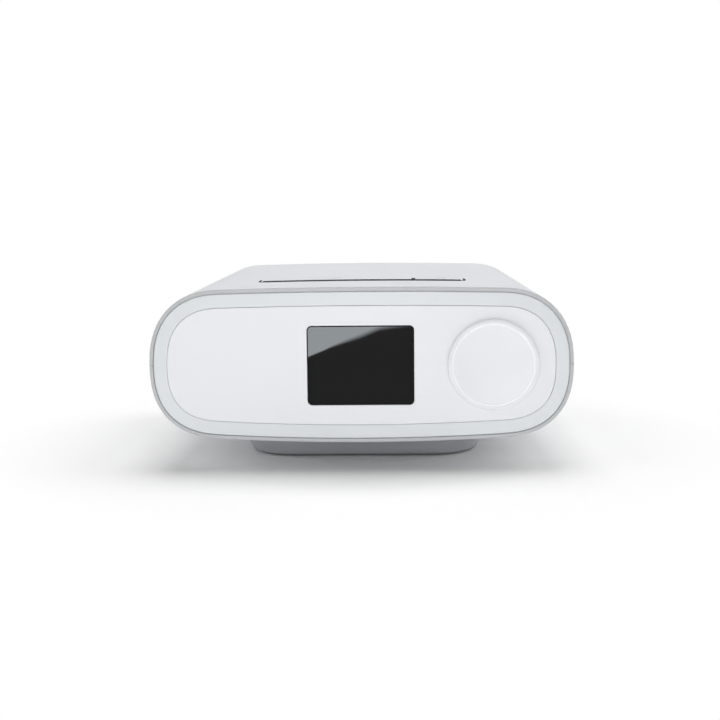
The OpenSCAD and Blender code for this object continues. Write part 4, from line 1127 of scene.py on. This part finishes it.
@dataclass
class ControlDial:
    """The dial, turned as two pieces: its ring with skirt and hub, and its face.

    Attributes:
        bench: Modelling helpers.
        lip: Width of the raised lip.
        ledge: Width of the ledge between the lip and the face.
        mouth: Slope at the mouth of the face's seat, as steps outwards and depths.
        dish: Depth of the seat's floor, without the face's thickness.
        face_t: Thickness of the face.
        web_t: Thickness of the web behind the face.
        brim: Depth of the brim over the panel's hole.
        chamfer: Width of the brim's chamfer and of the bead's.
        skirt_t: Thickness of the skirt.
        skirt_in: How far the skirt stands back from the brim.
        hub_r: Radius of the hub.
        hub_d: Depth of the hub behind the web.
        shaft_r: Radius of the shaft's hole.
        play: Gap between the face and its seat.
        bead: Width of the bead round the face.
        swell: Rise of the bead from the dish, as steps outwards and depths.
        bead_edge: Depth of the bead's outer edge.
        hollow: Depth of the dished face's middle.
        shallow: Depth of the dish at the bead.
        fall: Width of the rounded shoulder outside the seat.
        drop: Depth of the shoulder.
        steps: Number of steps of the turning.
    """

    bench: Workbench
    lip: float = 1.2 * MM
    ledge: float = 0.55 * MM
    mouth: tuple[Pair, ...] = ((0.0, 0.14 * MM), (0.06 * MM, 0.05 * MM))
    dish: float = 2.0 * MM
    face_t: float = 1.2 * MM
    web_t: float = 1.8 * MM
    brim: float = 0.95 * MM
    chamfer: float = 0.1 * MM
    skirt_t: float = 1.8 * MM
    skirt_in: float = 0.8 * MM
    hub_r: float = 6.0 * MM
    hub_d: float = 1.0 * MM
    shaft_r: float = 3.0 * MM
    play: float = 0.03 * MM
    bead: float = 0.85 * MM
    swell: tuple[Pair, ...] = ((0.1 * MM, 0.1 * MM), (0.25 * MM, 0.04 * MM))
    bead_edge: float = 0.12 * MM
    hollow: float = 1.6 * MM
    shallow: float = 0.2 * MM
    fall: float = 1.6 * MM
    drop: float = 0.82 * MM
    steps: int = 144

    def seat(self, reach: float) -> float:
        """Returns the radius of the face's seat in a dial of that radius."""
        return reach - self.lip - self.ledge

    def ring_outline(self, reach: float, deep: float) -> list[Pair]:
        """Builds the ring's section as radii and depths behind the lip.

        Args:
            reach: Radius of the dial.
            deep: Depth of the skirt's end.

        Returns:
            The points of the section.
        """
        seat = self.seat(reach)
        web = self.dish + self.face_t
        back = web + self.web_t
        skirt = reach - self.skirt_in
        wall = skirt - self.skirt_t
        shoulder = [
            (reach - self.fall * (1 - step / 8), self.drop * (step / 8) ** 2) for step in range(9)
        ]
        return [
            (self.shaft_r, web), (seat, web), *((seat + out, depth) for out, depth in self.mouth),
            *shoulder, (reach, self.brim - self.chamfer), (reach - self.chamfer, self.brim),
            (skirt, self.brim), (skirt, deep), (wall, deep), (wall, back), (self.hub_r, back),
            (self.hub_r, back + self.hub_d), (self.shaft_r, back + self.hub_d),
        ]

    def face_outline(self, reach: float) -> list[Pair]:
        """Builds the face's section, a shallow dish inside a bead, as radii and depths.

        Args:
            reach: Radius of the dial.

        Returns:
            The points of the section.
        """
        rim = self.seat(reach) - self.play
        inner = rim - self.bead
        back = self.dish + self.face_t
        dished = [
            (inner * step / 9, self.hollow - (self.hollow - self.shallow) * (step / 9) ** 2)
            for step in range(10)
        ]
        return [
            *dished, *((inner + out, depth) for out, depth in self.swell),
            (rim - self.chamfer, self.swell[-1][1]), (rim, self.bead_edge), (rim, back), (0.0, back),
        ]

    def turned(self, name: str, axis: Vector, outline: Sequence[Pair]) -> bpy.types.Object:
        """Turns a section round the dial's axis.

        Args:
            name: Name of the piece.
            axis: Point of the axis at the lip.
            outline: Radii and depths of the section.

        Returns:
            The piece.
        """
        self.bench.clear()
        bpy.ops.mesh.primitive_circle_add(vertices=len(outline), radius=MM, location=(0.0, 0.0, 0.0))
        piece = self.bench.settle(name)
        for vert, (radius, depth) in zip(piece.data.vertices, outline):
            vert.co = axis + Vector((radius, depth, 0.0))
        with self.bench.editing(piece, "EDGE"):
            self.bench.pick_edges(
                piece, lambda middle, way: abs(middle.x - axis.x) < 0.01 * MM and abs(way.y) > 0.9
            )
            bpy.ops.mesh.delete(type="EDGE")
            bpy.ops.mesh.select_all(action="SELECT")
            bpy.ops.mesh.spin(steps=self.steps, angle=2 * math.pi, center=axis, axis=(0.0, 1.0, 0.0))
            bpy.ops.mesh.select_all(action="SELECT")
            bpy.ops.mesh.remove_doubles(threshold=0.002 * MM)
        return piece

    def build(self) -> None:
        """Builds both pieces, which stand for the CAD dial and its cap."""
        low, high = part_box("control_dial")
        middle = centre("control_dial")
        axis = Vector((middle[0], low[1], middle[2]))
        reach = (high[2] - low[2]) / 2
        ring = self.turned("dial_ring", axis, self.ring_outline(reach, high[1] - low[1]))
        self.bench.finish(ring, "dial_white", Body.DIAL, 35.0, "control_dial")
        face = self.turned("dial_face", axis, self.face_outline(reach))
        self.bench.finish(face, "dial_white", Body.DIAL, 35.0, "dial_cap")


@dataclass
class KeyMarks:
    """Small generic signs on the two keys: a power sign and a rising ramp.

    Attributes:
        bench: Modelling helpers.
        nodes: CAD nodes by name.
        size: Outer size of a sign.
        stroke: Width of its lines.
        lift: How far the ink stands above the key.
        gap: Half the ring's opening over its radius.
        raised: How far the bar stands above the middle, over the ring's radius.
        wedge: Width and height of the wedge over the size of a sign.
    """

    bench: Workbench
    nodes: dict[str, bpy.types.Object]
    size: float = 4.0 * MM
    stroke: float = 0.4 * MM
    lift: float = 0.02 * MM
    gap: float = 0.5
    raised: float = 0.6
    wedge: Pair = (1.4, 0.6)

    def spot(self, node: str) -> Vector:
        """Finds the place of a key's sign, a little above the key's middle.

        Args:
            node: Name of the key.

        Returns:
            The place.
        """
        middle = centre(node)
        return Vector((middle[0], middle[1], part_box(node)[1][2] + MM))

    def lay(self, sign: bpy.types.Object, node: str, body: Body) -> None:
        """Lays a flat sign onto a key and gives it the thickness of its ink.

        Args:
            sign: Flat sign above the key.
            node: Name of the key.
            body: Body of the key.
        """
        self.bench.modify(
            sign, "SHRINKWRAP", target=self.nodes[node], wrap_method="PROJECT", use_project_z=True,
            use_negative_direction=True, use_positive_direction=False, offset=0.0,
        )
        self.bench.modify(sign, "SOLIDIFY", thickness=self.lift, offset=1.0)
        self.bench.finish(sign, INK, body, 60.0)

    def power(self) -> None:
        """Builds the broken ring with its stroke on the long key."""
        spot = self.spot("therapy_button")
        outer = self.size / 2
        self.bench.clear()
        bpy.ops.mesh.primitive_circle_add(vertices=60, radius=outer, fill_type="NGON", location=spot)
        ring = self.bench.settle("power_ring")
        with self.bench.editing(ring, whole=True):
            bpy.ops.mesh.inset(thickness=self.stroke)
            self.bench.pick_faces(ring, lambda middle, normal: (middle - spot).length < outer / 2)
            bpy.ops.mesh.delete(type="FACE")
            half = self.gap * outer
            self.bench.pick_faces(
                ring, lambda middle, normal: abs(middle.x - spot.x) < half and middle.y > spot.y
            )
            bpy.ops.mesh.delete(type="FACE")
        self.bench.clear()
        bpy.ops.mesh.primitive_plane_add(size=1.0, location=spot)
        bar = self.bench.settle("power_bar")
        with self.bench.editing(bar, whole=True):
            bpy.ops.transform.resize(value=(self.stroke, outer, 1.0), center_override=spot)
            bpy.ops.transform.translate(value=(0.0, outer * self.raised, 0.0))
            bpy.ops.mesh.subdivide(number_cuts=3)
        self.lay(self.bench.join("power_mark", [ring, bar]), "therapy_button", Body.THERAPY)

    def ramp(self) -> None:
        """Builds the rising wedge on the short key."""
        spot = self.spot("ramp_button")
        self.bench.clear()
        bpy.ops.mesh.primitive_plane_add(size=self.size, location=spot)
        wedge = self.bench.settle("ramp_mark")
        with self.bench.editing(wedge, "VERT", whole=True):
            bpy.ops.transform.resize(value=(*self.wedge, 1.0), center_override=spot)
            self.pick_corner(wedge, spot)
            bpy.ops.mesh.delete(type="VERT")
            bpy.ops.mesh.select_all(action="SELECT")
            bpy.ops.mesh.edge_face_add()
            bpy.ops.mesh.subdivide(number_cuts=3)
        self.lay(wedge, "ramp_button", Body.RAMP)

    def pick_corner(self, wedge: bpy.types.Object, spot: Vector) -> None:
        """Selects the corner that a rising wedge doesn't have.

        Args:
            wedge: Square in edit mode.
            spot: Middle of the square.
        """
        bpy.ops.mesh.select_all(action="DESELECT")
        mesh = bmesh.from_edit_mesh(wedge.data)
        for vert in mesh.verts:
            vert.select_set(vert.co.x < spot.x and vert.co.y > spot.y)
        bmesh.update_edit_mesh(wedge.data)

    def build(self) -> None:
        """Builds both signs."""
        self.power()
        self.ramp()


@dataclass
class CaseScrews:
    """Four pan-head screws with a cross recess, seen from below.

    Attributes:
        bench: Modelling helpers.
        head_r: Radius of the head.
        head_h: Height of the head.
        dome: Radius of the head's rounding.
        slot: Half the length, half the width and the depth of the cross recess.
        taper: Width of the recess at its bottom over the width at its mouth.
        shank_r: Radius of the shank.
        thread: Pitch of the thread.
        crest: Width of a crest over the root's.
    """

    bench: Workbench
    head_r: float = 2.8 * MM
    head_h: float = 2.0 * MM
    dome: float = 0.7 * MM
    slot: Point = (1.6 * MM, 0.28 * MM, 1.1 * MM)
    taper: float = 0.45
    shank_r: float = 1.5 * MM
    thread: float = 0.8 * MM
    crest: float = 1.12

    def recess(self, foot: Vector) -> bpy.types.Object:
        """Builds the cutter of the cross recess.

        Args:
            foot: Middle of the head's outer face.

        Returns:
            The cutter.
        """
        long, thin, deep = self.slot
        bottom = foot + Vector((0.0, 0.0, deep))
        blades = []
        for x, y in ((long, thin), (thin, long)):
            blade = self.bench.slab("recess", foot - Vector((x, y, MM)), foot + Vector((x, y, deep)))
            with self.bench.editing(blade):
                self.bench.pick_faces(blade, lambda middle, normal: normal.z > 0.9)
                bpy.ops.transform.resize(value=(self.taper, self.taper, 1.0), center_override=bottom)
            blades.append(blade)
        self.bench.modify(blades[0], "BOOLEAN", object=blades[1], operation="UNION")
        bpy.data.objects.remove(blades[1])
        return blades[0]

    def screw(self, foot: Vector, top: float) -> bpy.types.Object:
        """Builds one screw.

        Args:
            foot: Middle of the head's outer face.
            top: Height of the shank's tip.

        Returns:
            The screw.
        """
        piece = self.bench.turning("case_screw", foot, self.head_r, self.head_h)
        outside = foot.z + 0.1 * MM
        self.bench.round_edges(
            piece, lambda middle, way: middle.z < outside and abs(way.z) < 0.1, self.dome
        )
        with self.bench.editing(piece):
            self.bench.pick_faces(piece, lambda middle, normal: normal.z > 0.9)
            bpy.ops.mesh.inset(thickness=self.head_r - self.shank_r / self.crest)
            for _ in range(int((top - foot.z - self.head_h) / self.thread)):
                for swell in (self.crest, 1 / self.crest):
                    bpy.ops.mesh.extrude_region_move(
                        TRANSFORM_OT_translate={"value": (0.0, 0.0, self.thread / 2)}
                    )
                    bpy.ops.transform.resize(value=(swell, swell, 1.0))
        cutter = self.recess(foot)
        self.bench.modify(piece, "BOOLEAN", object=cutter, operation="DIFFERENCE")
        bpy.data.objects.remove(cutter)
        return piece

    def build(self) -> None:
        """Builds the first screw and copies it to the other places."""
        low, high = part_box("case_screws")
        places = [
            Vector((x, y, low[2]))
            for x in (low[0] + self.head_r, high[0] - self.head_r)
            for y in (low[1] + self.head_r, high[1] - self.head_r)
        ]
        first = self.screw(places[0], high[2])
        others = [
            self.bench.copy(first, f"case_screw_{index}", place - places[0])
            for index, place in enumerate(places[1:], start=2)
        ]
        self.bench.finish(first, "steel", Body.HOUSING, 30.0, "case_screws")
        for piece in others:
            self.bench.finish(piece, "steel", Body.HOUSING, 30.0)


@dataclass
class PowerInlet:
    """Centre pin inside the power jack.

    Attributes:
        bench: Modelling helpers.
        pin_r: Radius of the pin.
        tip_r: Radius of its tip's rounding.
        depth: Depth of the bore behind the jack's rear face.
        short: How far inside the bore the pin ends.
    """

    bench: Workbench
    pin_r: float = 0.55 * MM
    tip_r: float = 0.4 * MM
    depth: float = 12.5 * MM
    short: float = 2.5 * MM

    def build(self) -> None:
        """Builds the pin with its round tip."""
        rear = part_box("power_jack")[1][1]
        foot = (centre("power_jack")[0], rear - self.depth, mount_named("power_inlet")["pos_m"][2])
        pin = self.bench.turning("jack_pin", foot, self.pin_r, self.depth - self.short, "Y", 24)
        tip = rear - self.short - 0.01 * MM
        self.bench.round_edges(
            pin, lambda middle, way: middle.y > tip and abs(way.y) < 0.1, self.tip_r
        )
        self.bench.finish(pin, "steel", Body.HOUSING)


@dataclass
class FoamPads:
    """Foam of the inlet filter and of the air box, with soft edges and an uneven skin.

    Attributes:
        bench: Modelling helpers.
        edge: Radius of the soft edges.
        lump: Size of the unevenness.
        swell: Height of the unevenness.
        gap: Room round what passes through the lining.
        cup_r: Radius of the motor's cup.
        mount_r: Radius of a rubber mount.
    """

    bench: Workbench
    edge: float = 0.9 * MM
    lump: float = 5.0 * MM
    swell: float = 0.25 * MM
    gap: float = 1.5 * MM
    cup_r: float = 17.0 * MM
    mount_r: float = 4.0 * MM

    def block(self, node: str, name: str, cuts: int) -> bpy.types.Object:
        """Builds a block of foam with soft edges.

        Args:
            node: CAD node that it stands for.
            name: Name of the piece.
            cuts: Number of subdivisions.

        Returns:
            The block.
        """
        low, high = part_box(node)
        pad = self.bench.slab(name, low, high)
        with self.bench.editing(pad, "EDGE", whole=True):
            bpy.ops.mesh.bevel(offset=self.edge, segments=3, affect="EDGES")
            bpy.ops.mesh.select_all(action="SELECT")
            bpy.ops.mesh.subdivide(number_cuts=cuts)
        return pad

    def settle(self, pad: bpy.types.Object, slot: str, node: str) -> None:
        """Args:
            pad: Finished block.
            slot: Material slot.
            node: CAD node that it stands for.
        """
        lumps = bpy.data.textures.new("foam_lumps", "CLOUDS")
        lumps.noise_scale = self.lump
        self.bench.modify(pad, "DISPLACE", texture=lumps, strength=-self.swell, mid_level=0.0)
        self.bench.finish(pad, slot, Body.HOUSING, 60.0, node)

    def lining(self) -> None:
        """Builds the lining of the air box, cut out for the motor's cup and its mounts."""
        pad = self.block("sound_foam", "foam_lining", 9)
        low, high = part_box("sound_foam")
        hub = joint_named("rotor_spin")["pos_m"]
        near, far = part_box("isolators")
        holes = [(hub[0], hub[1], self.cup_r + self.gap)]
        holes += [
            (x, y, self.mount_r + self.gap)
            for x in (near[0] + self.mount_r, far[0] - self.mount_r)
            for y in (near[1] + self.mount_r, far[1] - self.mount_r)
        ]
        for x, y, radius in holes:
            cutter = self.bench.turning("cutter", (x, y, low[2] - MM), radius, high[2] - low[2] + 2 * MM)
            self.bench.modify(pad, "BOOLEAN", object=cutter, operation="DIFFERENCE")
            bpy.data.objects.remove(cutter)
        self.settle(pad, "acoustic_foam", "sound_foam")

    def build(self) -> None:
        """Builds the filter pad and the lining."""
        self.settle(self.block("pollen_filter", "foam_filter", 5), "filter_foam", "pollen_filter")
        self.lining()


@dataclass
class FilterBay:
    """What shows when the filter door is open: the card, and the screen in the door.

    Attributes:
        bench: Modelling helpers.
        clip: Width of the card's clipped corner.
        border: Width of the card's border round its recess.
        sink: Depth of the recess.
        edge: Width of the card's softened edges.
        wire: Thickness of the screen's wires.
        pitch: Spacing of the wires.
        inward: How far the screen stands inside the door's outermost point.
        wide: Width of the screen.
        tall: Height of the screen.
    """

    bench: Workbench
    clip: float = 4.0 * MM
    border: float = 1.4 * MM
    sink: float = 0.12 * MM
    edge: float = 0.18 * MM
    wire: float = 0.22 * MM
    pitch: float = 1.5 * MM
    inward: float = 4.6 * MM
    wide: float = 36.0 * MM
    tall: float = 25.0 * MM

    def card(self) -> None:
        """Builds the memory card with its clipped corner and a bare recess on each side."""
        low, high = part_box("sd_card")
        card = self.bench.slab("memory_card_shell", low, high)
        inner, lower = low[0] + MM, low[2] + MM
        self.bench.round_edges(
            card, lambda middle, way: abs(way.y) > 0.9 and middle.x < inner and middle.z < lower, self.clip, 1
        )
        with self.bench.editing(card):
            self.bench.pick_faces(card, lambda middle, normal: abs(normal.y) > 0.9)
            bpy.ops.mesh.inset(thickness=self.border)
            bpy.ops.mesh.extrude_region_shrink_fatten(TRANSFORM_OT_shrink_fatten={"value": -self.sink})
        self.bench.modify(
            card, "BEVEL", width=self.edge, segments=2, limit_method="ANGLE", angle_limit=0.6
        )
        self.bench.finish(card, "card_plastic", Body.CARD, 40.0, "sd_card")

    def screen(self) -> None:
        """Builds the fine screen behind the door's slots."""
        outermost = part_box("filter_door")[1][0]
        middle = Vector((outermost - self.inward, centre("filter_door")[1], centre("pollen_filter")[2]))
        side = Vector(joint_named("filter_door_open")["axis"]).normalized()
        up = Vector((0.0, 0.0, 1.0))
        self.bench.clear()
        bpy.ops.mesh.primitive_grid_add(
            x_subdivisions=int(self.wide / self.pitch), y_subdivisions=int(self.tall / self.pitch), size=1.0
        )
        screen = bpy.context.active_object
        screen.name = screen.data.name = "door_screen"
        turn = Matrix((side, up, side.cross(up))).transposed().to_4x4()
        size = Matrix.Diagonal((self.wide, self.tall, 1.0, 1.0))
        screen.data.transform(Matrix.Translation(middle) @ turn @ size)
        self.bench.modify(screen, "WIREFRAME", thickness=self.wire, use_even_offset=False)
        self.bench.finish(screen, "dark_plastic", Body.DOOR, 30.0)

    def build(self) -> None:
        """Builds the pieces of the filter bay."""
        self.card()
        self.screen()


# Camera and studio


def set_up(name: str, data: bpy.types.ID, place: Vector, turn: Matrix) -> bpy.types.Object:
    """Puts a camera or a lamp into the scene.

    Args:
        name: Name of the object.
        data: Its camera or lamp.
        place: Where it stands.
        turn: How it is turned.

    Returns:
        The object.
    """
    thing = bpy.data.objects.new(name, data)
    bpy.context.scene.collection.objects.link(thing)
    thing.matrix_world = Matrix.Translation(place) @ turn.to_4x4()
    return thing


@dataclass(frozen=True)
class PhotoCamera:
    """Camera at the photograph's angle.

    Attributes:
        target: Point of the object near the middle of the picture.
        distance: Distance from that point.
        elevation: Height angle in degrees.
        azimuth: Angle to the right of straight ahead, in degrees.
        roll: Tilt of the picture in degrees.
        focal: Focal length in pixels of the picture.
        frame: Width of the picture in pixels.
        spot: Pixel of the target.
    """

    target: Point = (0.0, -0.0765, 0.0485)
    distance: float = 0.6431
    elevation: float = 8.30
    azimuth: float = 1.62
    roll: float = -0.60
    focal: float = 1422.0
    frame: float = 720.0
    spot: Pair = (360.68, 365.4)

    def axes(self) -> tuple[Vector, Vector, Vector]:
        """Finds the camera's directions.

        Returns:
            Its right, up and backward directions.
        """
        tilt, turn, roll = (math.radians(a) for a in (self.elevation, self.azimuth, self.roll))
        back = Vector(
            (math.sin(turn) * math.cos(tilt), -math.cos(turn) * math.cos(tilt), math.sin(tilt))
        )
        level = Vector((math.cos(turn), math.sin(turn), 0.0))
        upright = back.cross(level)
        right = math.cos(roll) * level + math.sin(roll) * upright
        return right, back.cross(right), back

    def place(self) -> Vector:
        """Finds the camera's place.

        Returns:
            The place.
        """
        right, upright, back = self.axes()
        across = (self.spot[0] - self.frame / 2) / self.focal
        down = (self.spot[1] - self.frame / 2) / self.focal
        ray = -back + across * right - down * upright
        return Vector(self.target) - self.distance * ray

    def build(self) -> bpy.types.Object:
        """Adds the camera and makes it the scene's.

        Returns:
            The camera.
        """
        data = bpy.data.cameras.new("photo_camera")
        data.sensor_width = 36.0
        data.lens = data.sensor_width * self.focal / self.frame
        data.clip_start, data.clip_end = 0.05, 30.0
        camera = set_up("photo_camera", data, self.place(), Matrix(self.axes()).transposed())
        bpy.context.scene.camera = camera
        return camera


@dataclass(frozen=True)
class SoftBox:
    """One soft lamp.

    Attributes:
        name: Name of the lamp.
        place: Where it stands.
        aim: What it looks at.
        size: Side of its square face.
        power: Power in watts.
    """

    name: str
    place: Point
    aim: Point
    size: float
    power: float

    def build(self) -> None:
        """Adds the lamp."""
        data = bpy.data.lights.new(self.name, "AREA")
        data.shape, data.size, data.energy = "SQUARE", self.size, self.power
        place = Vector(self.place)
        look = Vector(self.aim) - place
        set_up(self.name, data, place, look.to_track_quat("-Z", "Y").to_matrix())


@dataclass
class GlareCard:
    """Bright card on the floor in front, which only the display's glass mirrors.

    Attributes:
        camera: Camera that the mirrored edge is set for.
        glass: Display pane.
        bright: Emission strength.
        tint: Colour of its light.
        soften: Part of the width over which its edge softens, and how soft it is at both ends.
        edge: Points across and up on the glass that the card's edge is mirrored at.
        top: Height on the glass that the card's far side is mirrored at.
        columns: Number of columns of the card's grid.
    """

    camera: PhotoCamera
    glass: bpy.types.Object
    bright: float = 23.0
    tint: Colour = (0.93, 1.0, 1.05)
    soften: tuple[Pair, Pair] = ((0.2, 1.0), (0.03, 0.5))
    edge: tuple[Pair, ...] = (
        (-27.0, 50.2), (-23.5, 51.8), (-13.6, 55.9), (0.4, 60.2), (8.5, 63.6), (22.1, 65.5), (27.0, 66.0),
    )
    top: float = 72.0
    columns: int = 27

    def edge_at(self, across: float) -> float:
        """Finds the edge's height on the glass.

        Args:
            across: Place across the glass in millimetres.

        Returns:
            The height in millimetres.
        """
        for (x0, z0), (x1, z1) in zip(self.edge, self.edge[1:]):
            if across <= x1:
                return z0 + (z1 - z0) * (across - x0) / (x1 - x0)
        return self.edge[-1][1]

    def mirrored(self, across: float, up: float) -> Vector:
        """Finds the spot on the floor that the camera sees in the glass.

        Args:
            across: Place across the glass in millimetres.
            up: Height on the glass in millimetres.

        Returns:
            The spot, a little above the floor.
        """
        face = min(corner[1] for corner in self.glass.bound_box)
        eye = self.camera.place()
        eye.y = 2 * face - eye.y
        ray = Vector((across * MM, face, up * MM)) - eye
        spot = eye - ray * (eye.z / ray.z)
        return Vector((spot.x, spot.y, MM))

    def material(self) -> bpy.types.Material:
        """Builds a clear material that shines, with an edge that softens to the right.

        Returns:
            The material.
        """
        material = bpy.data.materials.new("glare_card")
        material.use_nodes = True
        sheet = Sheet(material.node_tree)
        sheet.tree.nodes.clear()
        axes = sheet.feed(sheet.add("SeparateXYZ"), Vector=sheet.add("TexCoord").outputs["UV"])
        soft = sheet.span(axes.outputs["X"], *self.soften)
        rise = sheet.span(sheet.math("DIVIDE", axes.outputs["Y"], soft), (0.0, 1.0), (0.0, self.bright))
        shine = sheet.feed(sheet.add("Emission"), Color=self.tint, Strength=rise)
        both = sheet.add("AddShader")
        sheet.put(both.inputs[0], shine.outputs[0])
        sheet.put(both.inputs[1], sheet.add("BsdfTransparent").outputs[0])
        sheet.feed(sheet.add("OutputMaterial"), Surface=both.outputs[0])
        return material

    def build(self) -> None:
        """Builds the card and links its light to the glass alone."""
        bpy.ops.object.select_all(action="DESELECT")
        bpy.ops.mesh.primitive_grid_add(x_subdivisions=self.columns, y_subdivisions=6, size=1.0)
        card = bpy.context.active_object
        card.name = card.data.name = "glare_card"
        first, last = self.edge[0][0], self.edge[-1][0]
        for vert in card.data.vertices:
            across = first + (last - first) * (vert.co.x + 0.5)
            low = self.edge_at(across)
            vert.co = self.mirrored(across, low + (self.top - low) * (vert.co.y + 0.5))
        card.data.materials.append(self.material())
        card.visible_camera = card.visible_diffuse = card.visible_shadow = False
        card.visible_transmission = card.visible_volume_scatter = False
        lit = bpy.data.collections.new("glass_only")
        lit.objects.link(self.glass)
        card.light_linking.receiver_collection = lit


@dataclass
class Studio:
    """Plain pale floor, dim even surroundings and soft lamps.

    Attributes:
        surround: Strength of the even surroundings.
        floor_white: Colour level of the floor as it lights the object.
        shadow_white: Colour level of the floor as the camera sees it near the object.
        near: Distance from the object at which the floor starts to turn plain white.
        far: Distance at which it is plain white.
        reach: Half the side of the floor.
    """

    surround: float = 0.05
    floor_white: float = 0.97
    shadow_white: float = 0.81
    near: float = 0.11
    far: float = 0.19
    reach: float = 8.0

    def lamps(self) -> tuple[SoftBox, ...]:
        """Returns the lamps, all aimed at the object."""
        middle = (0.0, 0.0, 0.05)
        return (
            SoftBox("overhead", (0.0, 0.35, 1.5), middle, 0.9, 12.4),
            SoftBox("right_key", (0.9, 0.25, 1.2), middle, 0.8, 6.6),
            SoftBox("left_fill", (-1.0, -0.4, 1.1), middle, 0.9, 4.5),
            SoftBox("left_back", (-1.3, 0.35, 0.5), middle, 0.8, 7.4),
            SoftBox("right_back", (1.3, 0.35, 0.5), middle, 0.8, 8.2),
            SoftBox("front_wide", (0.0, -1.9, 0.45), middle, 2.0, 13.8),
            SoftBox("front_low", (0.0, -1.0, 0.2), middle, 0.5, 1.9),
        )

    def surroundings(self) -> None:
        """Makes the world white for the camera and even for the object."""
        world = bpy.data.worlds.new("studio")
        bpy.context.scene.world = world
        world.use_nodes = True
        sheet = Sheet(world.node_tree)
        shine = next(n for n in world.node_tree.nodes if n.type == "BACKGROUND")
        seen = sheet.add("LightPath").outputs["Is Camera Ray"]
        sheet.feed(shine, Color=(1.0, 1.0, 1.0), Strength=sheet.span(seen, (0.0, 1.0), (self.surround, 1.0)))

    def paper(self) -> bpy.types.Material:
        """Builds the floor's material, plain white for the camera away from the object.

        Returns:
            The material.
        """
        material, sheet, shader, place = open_material("paper_floor")
        fibres = sheet.bump(sheet.noise(place, 900.0), 0.01 * MM)
        seen = sheet.add("LightPath").outputs["Is Camera Ray"]
        tone = sheet.mix(seen, (self.floor_white,) * 3, (self.shadow_white,) * 3)
        sheet.feed(shader, Base_Color=tone, Roughness=0.9, Normal=fibres, Specular_IOR_Level=0.0)
        length = sheet.feed(sheet.add("VectorMath", operation="LENGTH"), Vector=place)
        away = sheet.span(length.outputs["Value"], (self.near, self.far))
        plain = sheet.feed(sheet.add("Emission"), Color=(1.0, 1.0, 1.0), Strength=1.0)
        blend = sheet.add("MixShader")
        ends = (sheet.math("MULTIPLY", seen, away), shader.outputs[0], plain.outputs[0])
        for socket, source in zip(blend.inputs, ends):
            sheet.put(socket, source)
        surface = next(n for n in sheet.tree.nodes if n.type == "OUTPUT_MATERIAL")
        sheet.feed(surface, Surface=blend.outputs[0])
        return material

    def floor(self) -> None:
        """Adds the floor, which keeps the object's shadow."""
        bpy.ops.object.select_all(action="DESELECT")
        bpy.ops.mesh.primitive_plane_add(size=2 * self.reach, location=(0.0, 0.0, 0.0))
        floor = bpy.context.active_object
        floor.name = "floor"
        floor.data.materials.append(self.paper())

    def build(self) -> None:
        """Builds the studio."""
        self.surroundings()
        self.floor()
        for lamp in self.lamps():
            lamp.build()


def main() -> None:
    """Dresses the model, adds its small pieces and sets up the picture."""
    logging.basicConfig(level=logging.INFO, format="%(name)s: %(message)s", stream=sys.stdout)
    MODEL.update(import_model())
    nodes: dict[str, bpy.types.Object] = MODEL["nodes"]
    slots = {part["node"]: part["material_slot"] for part in MODEL["record"]["subparts"]}
    camera = PhotoCamera()
    camera.build()
    window, dial = centre("display_window"), centre("control_dial")
    book = FinishBook(nodes, slots, window[2], (dial[0], 0.0, dial[2]))
    book.dress()
    SoftShading(nodes).apply()
    bench = Workbench(book)
    pane = DisplayPane(bench).build()
    ControlDial(bench).build()
    KeyMarks(bench, nodes).build()
    CaseScrews(bench).build()
    PowerInlet(bench).build()
    FoamPads(bench).build()
    FilterBay(bench).build()
    GlareCard(camera, pane).build()
    Studio().build()
    bpy.context.scene.view_settings.view_transform = "Standard"


if __name__ == "__main__":
    main()
